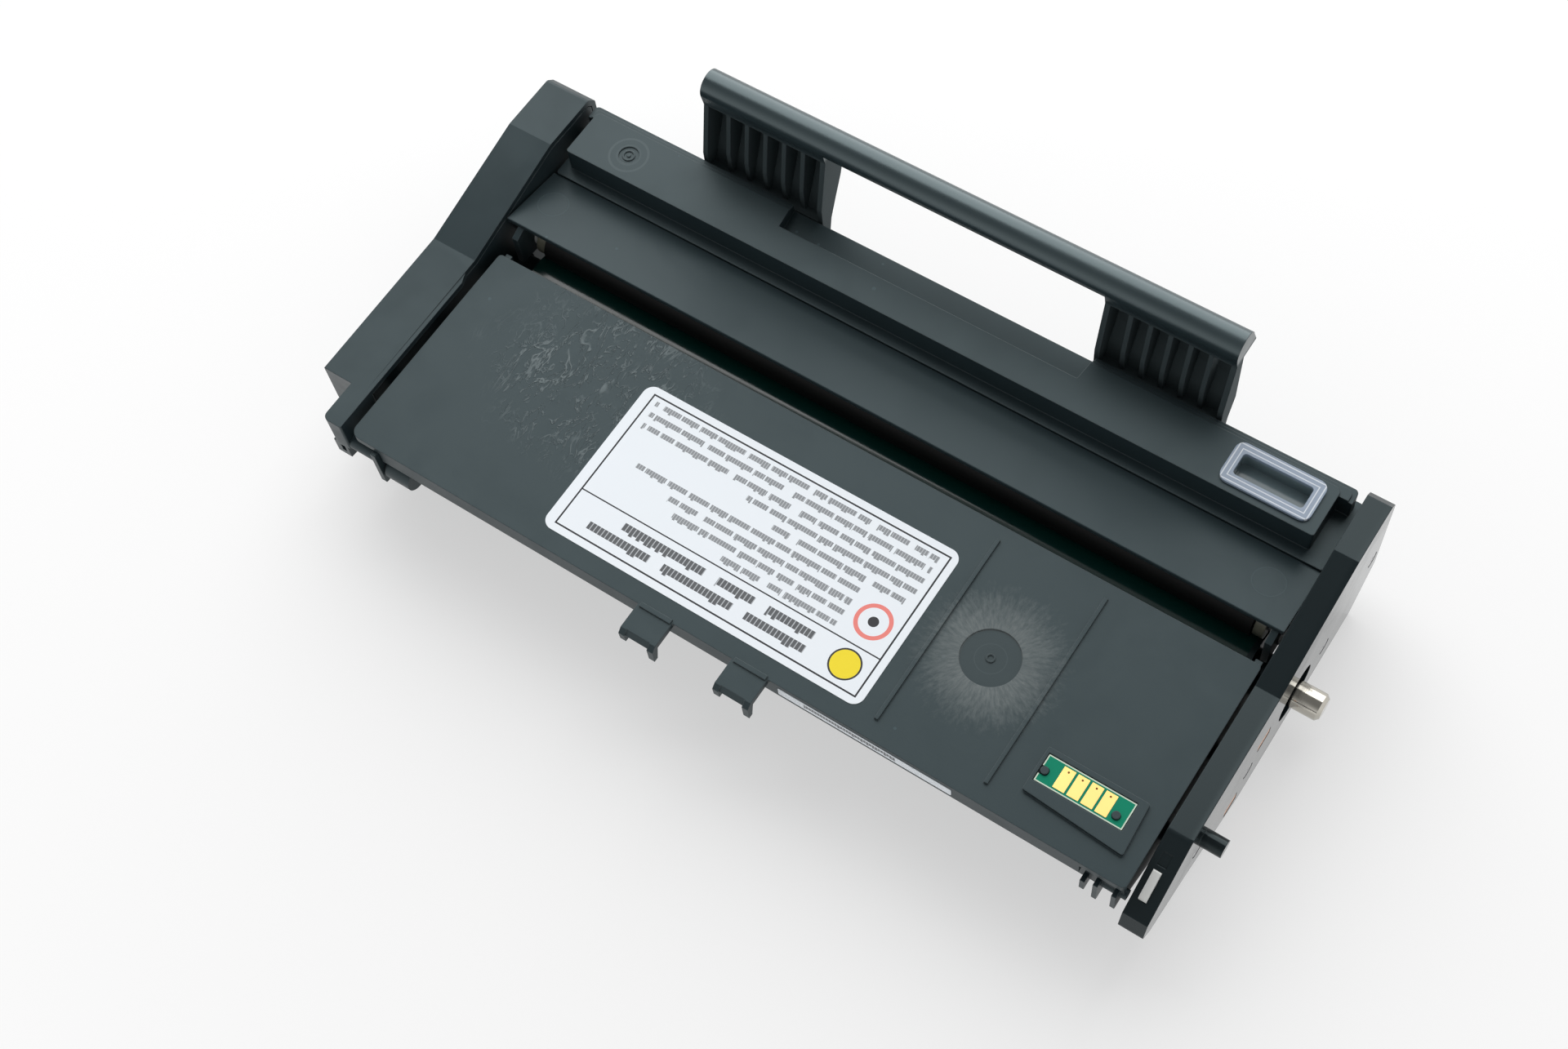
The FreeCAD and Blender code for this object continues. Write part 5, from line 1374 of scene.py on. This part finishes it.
@dataclass(frozen=True)
class CrossScrew:
    """A pan-head screw with a cross recess, in millimetres."""

    head_radius: float
    head_height: float
    length: float
    shank: float = 1.46
    root: float = 1.16
    pitch: float = 0.9
    edge: float = 0.3
    arm: float = 1.35
    half_slot: float = 0.32
    recess: float = 0.55
    recess_taper: float = 0.7
    point: float = 0.6
    sides: int = 24

    def ring(self, mesh: bmesh.types.BMesh, radius: float, height: float) -> list[bmesh.types.BMVert]:
        """Add one ring of points round the screw's axis.

        Args:
            mesh: the mesh to add to.
            radius: the ring's radius.
            height: its height, from 0 at the head's top.

        Returns:
            The points.
        """
        turns = [2 * math.pi * step / self.sides for step in range(self.sides)]
        return [mesh.verts.new((radius * math.cos(turn), radius * math.sin(turn), height)) for turn in turns]

    def skin(
        self, mesh: bmesh.types.BMesh, first: list[bmesh.types.BMVert], second: list[bmesh.types.BMVert]
    ) -> None:
        """Join two rings of points with faces.

        Args:
            mesh: the mesh to add to.
            first: the ring nearer to the head's top.
            second: the next ring.
        """
        count = len(first)
        for step in range(count):
            after = (step + 1) % count
            mesh.faces.new((first[step], second[step], second[after], first[after]))

    def cross(self, mesh: bmesh.types.BMesh, share: float, height: float) -> list[bmesh.types.BMVert]:
        """Add the outline of the cross recess at one height.

        Args:
            mesh: the mesh to add to.
            share: its size, as a share of its size at the head's top.
            height: its height.

        Returns:
            The points.
        """
        arm, half = self.arm * share, self.half_slot
        corner = [(arm, -half), (arm, half), (half, half)]
        points = []
        for _ in range(4):
            points += corner
            corner = [(-y, x) for x, y in corner]
        return [mesh.verts.new((x, y, height)) for x, y in points]

    def build(self) -> bmesh.types.BMesh:
        """Build the screw, with its head's top at 0 and its point below.

        Returns:
            The mesh, in millimetres.
        """
        mesh = bmesh.new()
        top = self.ring(mesh, self.head_radius - self.edge, 0.0)
        rings = [top, self.ring(mesh, self.head_radius - self.edge * 0.3, -self.edge * 0.3)]
        rings.append(self.ring(mesh, self.head_radius, -self.edge))
        rings.append(self.ring(mesh, self.head_radius, -self.head_height))
        rings.append(self.ring(mesh, self.shank, -self.head_height))
        depth = self.head_height
        while depth + self.pitch < self.length - self.point:
            for radius, share in ((self.root, 0.35), (self.root, 0.6), (self.shank, 1.0)):
                rings.append(self.ring(mesh, radius, -depth - self.pitch * share))
            depth += self.pitch
        rings.append(self.ring(mesh, self.root * 0.6, -self.length))
        for first, second in zip(rings, rings[1:]):
            self.skin(mesh, first, second)
        mesh.faces.new(rings[-1][::-1])
        mouth = self.cross(mesh, 1.0, 0.0)
        floor = self.cross(mesh, self.recess_taper, -self.recess)
        self.skin(mesh, mouth, floor)
        mesh.faces.new(floor)
        edges = []
        for loop in (top, mouth):
            for step, vert in enumerate(loop):
                after = loop[(step + 1) % len(loop)]
                edges.append(mesh.edges.get((vert, after)) or mesh.edges.new((vert, after)))
        bmesh.ops.triangle_fill(mesh, use_beauty=True, edges=edges, normal=(0, 0, 1))
        bmesh.ops.recalc_face_normals(mesh, faces=mesh.faces)
        return mesh


@dataclass(frozen=True)
class RoundSpring:
    """A pressure spring of round wire with closed ends, in millimetres."""

    length: float
    radius: float = 1.35
    wire: float = 0.42
    turns: float = 5.5
    closing: float = 0.35
    steps: int = 20
    sides: int = 8

    def build(self) -> bmesh.types.BMesh:
        """Build the spring about its middle, along Z.

        Returns:
            The mesh, in millimetres.
        """
        mesh = bmesh.new()
        count = int(self.turns * self.steps)
        half = self.length / 2 - self.wire / 2
        loops = []
        for step in range(count + 1):
            share = step / count
            slow = -math.cos(math.pi * share)
            rise = slow * self.closing + (2 * share - 1) * (1 - self.closing)
            turn = 2 * math.pi * step / self.steps
            out = Vector((math.cos(turn), math.sin(turn), 0.0))
            centre = out * self.radius + Vector((0.0, 0.0, rise * half))
            loop = []
            for side in range(self.sides):
                angle = 2 * math.pi * side / self.sides
                offset = out * math.cos(angle) + Vector((0.0, 0.0, math.sin(angle)))
                loop.append(mesh.verts.new(centre + offset * (self.wire / 2)))
            loops.append(loop)
        for first, second in zip(loops, loops[1:]):
            for side in range(self.sides):
                after = (side + 1) % self.sides
                mesh.faces.new((first[side], first[after], second[after], second[side]))
        mesh.faces.new(loops[0][::-1])
        mesh.faces.new(loops[-1])
        bmesh.ops.recalc_face_normals(mesh, faces=mesh.faces)
        return mesh


def gathered(parts: Iterable[tuple[bmesh.types.BMesh, Matrix]]) -> bmesh.types.BMesh:
    """Put several meshes in millimetres at their places in one mesh in metres.

    Args:
        parts: each mesh with its placing, whose shift is in metres.

    Returns:
        The joined mesh.
    """
    whole = bmesh.new()
    for part, placing in parts:
        part.transform(placing @ Matrix.Scale(MM, 4))
        step = bpy.data.meshes.new("part")
        part.to_mesh(step)
        part.free()
        whole.from_mesh(step)
        bpy.data.meshes.remove(step)
    return whole


class FrontTrough(Assembly):
    """The flat lid, its trough, the cleaning parts and the charge roller."""

    title = "front trough"

    def build(self) -> None:
        """Dress the front trough."""
        finishes = self.finishes
        self.dress("waste_cover", finishes.lid())
        self.dress_plain(SHELL, "waste_hopper")
        self.dress_plain(STEEL, "blade_bracket")
        self.dress_plain(URETHANE, "cleaning_blade")
        self.dress_plain(DARK_FILM, "recovery_film")
        self.dress("charge_shaft", finishes.turned(STEEL, 0.2))
        self.dress("charge_roll", finishes.turned(ROLL, 0.3))
        self.dress_plain(PALE, "charge_bearings")
        self.springs()

    def springs(self) -> None:
        """Wind the two round-wire springs behind the charge roller's bearings."""
        parts = []
        lean = Matrix.Rotation(math.radians(45.0), 4, "X")
        for low, high in solids("charge_springs"):
            across = RoundSpring(1.0)
            rim = across.radius + across.wire / 2
            length = (high.y - low.y) / MM * math.sqrt(2.0) - 2 * rim
            parts.append((RoundSpring(length).build(), Matrix.Translation((low + high) / 2) @ lean))
        steel = self.finishes.plain(STEEL)
        made = self.piece("charge_spring_coils", gathered(parts), steel, "shell", "steel")
        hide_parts("charge_springs")


class LabelSet(Assembly):
    """The stuck sheets and the chip."""

    title = "labels and chip"

    def build(self) -> None:
        """Dress the labels and the chip."""
        finishes = self.finishes
        low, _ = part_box("info_label")
        self.dress("info_label", finishes.label(LabelPlan(), low))
        low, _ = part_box("edge_label")
        self.dress("edge_label", finishes.edge_label(low))
        self.dress("chip_board", finishes.board(*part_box("chip_board")))
        self.dress("chip_contacts", finishes.pads(solids("chip_contacts")))


class DrumUnit(Assembly):
    """The drum, its axle and its flanges."""

    title = "drum"

    def build(self) -> None:
        """Dress the drum."""
        self.dress("drum_tube", self.finishes.turned(DRUM, 0.05))
        self.dress("drum_axle", self.finishes.turned(CHROME, 0.15))
        self.dress_plain(DARK_GEAR, "drum_gear", "drum_flange")


class DeveloperUnit(Assembly):
    """The developer and supply rollers with the metering blade and the seals."""

    title = "developer"

    def build(self) -> None:
        """Dress the developer unit."""
        finishes = self.finishes
        self.dress("developer_roll", finishes.turned(ROLL, 0.3))
        for node in ("supply_roll", "end_seals"):
            self.dress(node, finishes.foam())
        self.dress_plain(STEEL, "metering_blade")
        self.screws()
        for node in ("developer_shaft", "supply_shaft"):
            self.dress(node, finishes.turned(STEEL, 0.2))
        self.dress_plain(COLLAR, "developer_collars")
        self.dress_plain(PALE, "developer_bushes", "supply_bushes")

    def screws(self) -> None:
        """Drive the cross-headed screws of the metering blade, facing up."""
        parts = []
        for low, high in solids("metering_screws"):
            middle = (low + high) / 2
            screw = CrossScrew((high.y - low.y) / MM / 2, 1.0, (high.z - low.z) / MM)
            parts.append((screw.build(), Matrix.Translation((middle.x, middle.y, high.z))))
        steel = self.finishes.plain(STEEL)
        made = self.piece("metering_cross_screws", gathered(parts), steel, "shell", "steel")
        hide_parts("metering_screws")


class RearTrough(Assembly):
    """The toner trough with its lid, window, shield, stirrer and handle."""

    title = "rear trough"

    def build(self) -> None:
        """Dress the rear trough."""
        finishes = self.finishes
        self.dress_plain(SHELL, "toner_hopper", "agitator")
        self.dress("hopper_lid", finishes.lid_top())
        self.dress("slot_shield", finishes.shield())
        self.dress("sensor_window", finishes.window(*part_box("sensor_window")))
        _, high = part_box("handle")
        self.dress("handle", finishes.handle(high.z))
        self.dress("agitator_film", finishes.film())
        self.dress_plain(PALE, "agitator_bushes", "fill_plug")


class EndCovers(Assembly):
    """The two folded covers with the gear train, the contacts and the screws."""

    title = "end covers"

    def build(self) -> None:
        """Dress the end covers."""
        self.dress("drive_cover", self.finishes.handled_cover())
        self.dress_plain(PANEL, "drive_frame")
        self.dress("contact_cover", self.finishes.glossy_cover())
        self.dress_plain(PALE, "locating_pad")
        self.screws()
        self.dress_plain(COPPER, "charge_contact", "developer_contact")
        self.dress_plain(GEAR, "developer_gear", "supply_gear", "agitator_gear")
        self.dress_plain(GEAR, "idler_gear", "compound_gear")

    def screws(self) -> None:
        """Drive the cross-headed screws of both covers, each facing outwards."""
        parts = []
        for low, high in solids("cover_screws"):
            middle = (low + high) / 2
            outwards = 1.0 if middle.x > 0 else -1.0
            place = Vector((high.x if outwards > 0 else low.x, middle.y, middle.z))
            screw = CrossScrew((high.y - low.y) / MM / 2, 0.9, (high.x - low.x) / MM)
            turn = Matrix.Rotation(math.radians(90.0 * outwards), 4, "Y")
            spin = Matrix.Rotation(math.radians(37.0 * len(parts)), 4, "Z")
            parts.append((screw.build(), Matrix.Translation(place) @ turn @ spin))
        steel = self.finishes.plain(STEEL)
        made = self.piece("cover_cross_screws", gathered(parts), steel, "shell", "steel")
        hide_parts("cover_screws")


@dataclass(frozen=True)
class CameraFit:
    """The camera that took the photograph, found from the object's own straight lines."""

    place: Point = (180.09, -227.62, 559.18)
    turn: Point = (27.3457, 4.2989, 33.7679)
    lens: float = 50.45
    sensor: float = 36.0
    near: float = 0.01
    far: float = 20.0


@dataclass(frozen=True)
class StudioPlan:
    """Sizes and strengths of the studio, in metres and watts."""

    floor: float = 6.0
    floor_drop: float = 0.0002
    floor_white: float = 0.93
    floor_roughness: float = 0.9
    floor_shine: float = 0.1
    glow_near: float = 0.5
    glow_start: float = 0.16
    glow_full: float = 0.44
    horizon: float = 1.0
    zenith: float = 0.25
    key_place: Point = (-0.50, 0.85, 0.95)
    key_size: float = 1.8
    key_power: float = 25.5


class Studio:
    """The pale floor, the soft light and the camera."""

    def __init__(self, plan: StudioPlan, fit: CameraFit) -> None:
        """Keep the plan and the camera.

        Args:
            plan: sizes of the studio.
            fit: the camera.
        """
        self.plan = plan
        self.fit = fit

    def floor(self) -> None:
        """Lay the pale floor."""
        plan = self.plan
        half = plan.floor / 2
        mesh = bmesh.new()
        corners = ((-half, -half), (half, -half), (half, half), (-half, half))
        mesh.faces.new([mesh.verts.new((x, y, -plan.floor_drop)) for x, y in corners])
        data = bpy.data.meshes.new("floor")
        mesh.to_mesh(data)
        mesh.free()
        floor = bpy.data.objects.new("floor", data)
        bpy.context.scene.collection.objects.link(floor)
        material = bpy.data.materials.new("floor_paper")
        material.use_nodes = True
        shader = material.node_tree.nodes["Principled BSDF"]
        graph = Graph(material.node_tree)
        graph.feed(shader.inputs["Base Color"], (plan.floor_white,) * 3)
        graph.feed(shader.inputs["Roughness"], plan.floor_roughness)
        graph.feed(shader.inputs["Specular IOR Level"], plan.floor_shine)
        path = graph.node("ShaderNodeLightPath").outputs
        seen = graph.add(path["Is Camera Ray"], path["Is Glossy Ray"], path["Is Transmission Ray"])
        glow = graph.node("ShaderNodeEmission")
        graph.feed(glow.inputs["Strength"], 1.0)
        blend = graph.node("ShaderNodeMixShader")
        share = graph.maths(Maths.SMALLER, seen, 1.0)
        x, y, _ = graph.parts(graph.node("ShaderNodeTexCoord").outputs["Object"])
        glow_share = graph.ramp(graph.length(x, y), plan.glow_start, plan.glow_full, plan.glow_near, 1.0)
        graph.feed(blend.inputs[0], graph.times(share, glow_share))
        graph.feed(blend.inputs[1], shader.outputs[0])
        graph.feed(blend.inputs[2], glow.outputs[0])
        output = material.node_tree.nodes["Material Output"]
        graph.feed(output.inputs[0], blend.outputs[0])
        data.materials.append(material)

    def lights(self) -> None:
        """Hang the large soft light, and set the light around, which fades towards the zenith."""
        plan = self.plan
        lamp = bpy.data.lights.new("key_light", "AREA")
        lamp.shape = "SQUARE"
        lamp.size = plan.key_size
        lamp.energy = plan.key_power
        light = bpy.data.objects.new("key_light", lamp)
        light.location = plan.key_place
        aim = Vector((0.0, 0.0, 0.03)) - Vector(plan.key_place)
        light.rotation_euler = aim.to_track_quat("-Z", "Y").to_euler()
        bpy.context.scene.collection.objects.link(light)
        world = bpy.data.worlds.new("even_light")
        world.use_nodes = True
        back = world.node_tree.nodes["Background"]
        graph = Graph(world.node_tree)
        _, _, height = graph.parts(graph.node("ShaderNodeTexCoord").outputs["Generated"])
        graph.feed(back.inputs[0], (1.0, 1.0, 1.0))
        graph.feed(back.inputs[1], graph.ramp(height, 0.0, 0.9, plan.horizon, plan.zenith))
        bpy.context.scene.world = world

    def camera(self) -> None:
        """Place the camera where the photograph was taken from."""
        data = bpy.data.cameras.new("photo_camera")
        data.lens = self.fit.lens
        data.sensor_width = self.fit.sensor
        data.clip_start = self.fit.near
        data.clip_end = self.fit.far
        camera = bpy.data.objects.new("photo_camera", data)
        camera.location = Vector(self.fit.place) * MM
        camera.rotation_euler = Euler([math.radians(angle) for angle in self.fit.turn])
        bpy.context.scene.collection.objects.link(camera)
        bpy.context.scene.camera = camera

    def build(self) -> None:
        """Set the whole studio up."""
        self.floor()
        self.lights()
        self.camera()
        bpy.context.scene.view_settings.view_transform = "Standard"
        LOG.info("studio ready")


def main() -> None:
    """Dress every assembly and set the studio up."""
    logging.basicConfig(level=logging.INFO, format="%(name)s %(message)s")
    finishes = FinishLibrary(EffectLibrary())
    for kind in (FrontTrough, LabelSet, DrumUnit, DeveloperUnit, RearTrough, EndCovers):
        kind(finishes).build()
    Studio(StudioPlan(), CameraFit()).build()


if __name__ == "__main__":
    main()
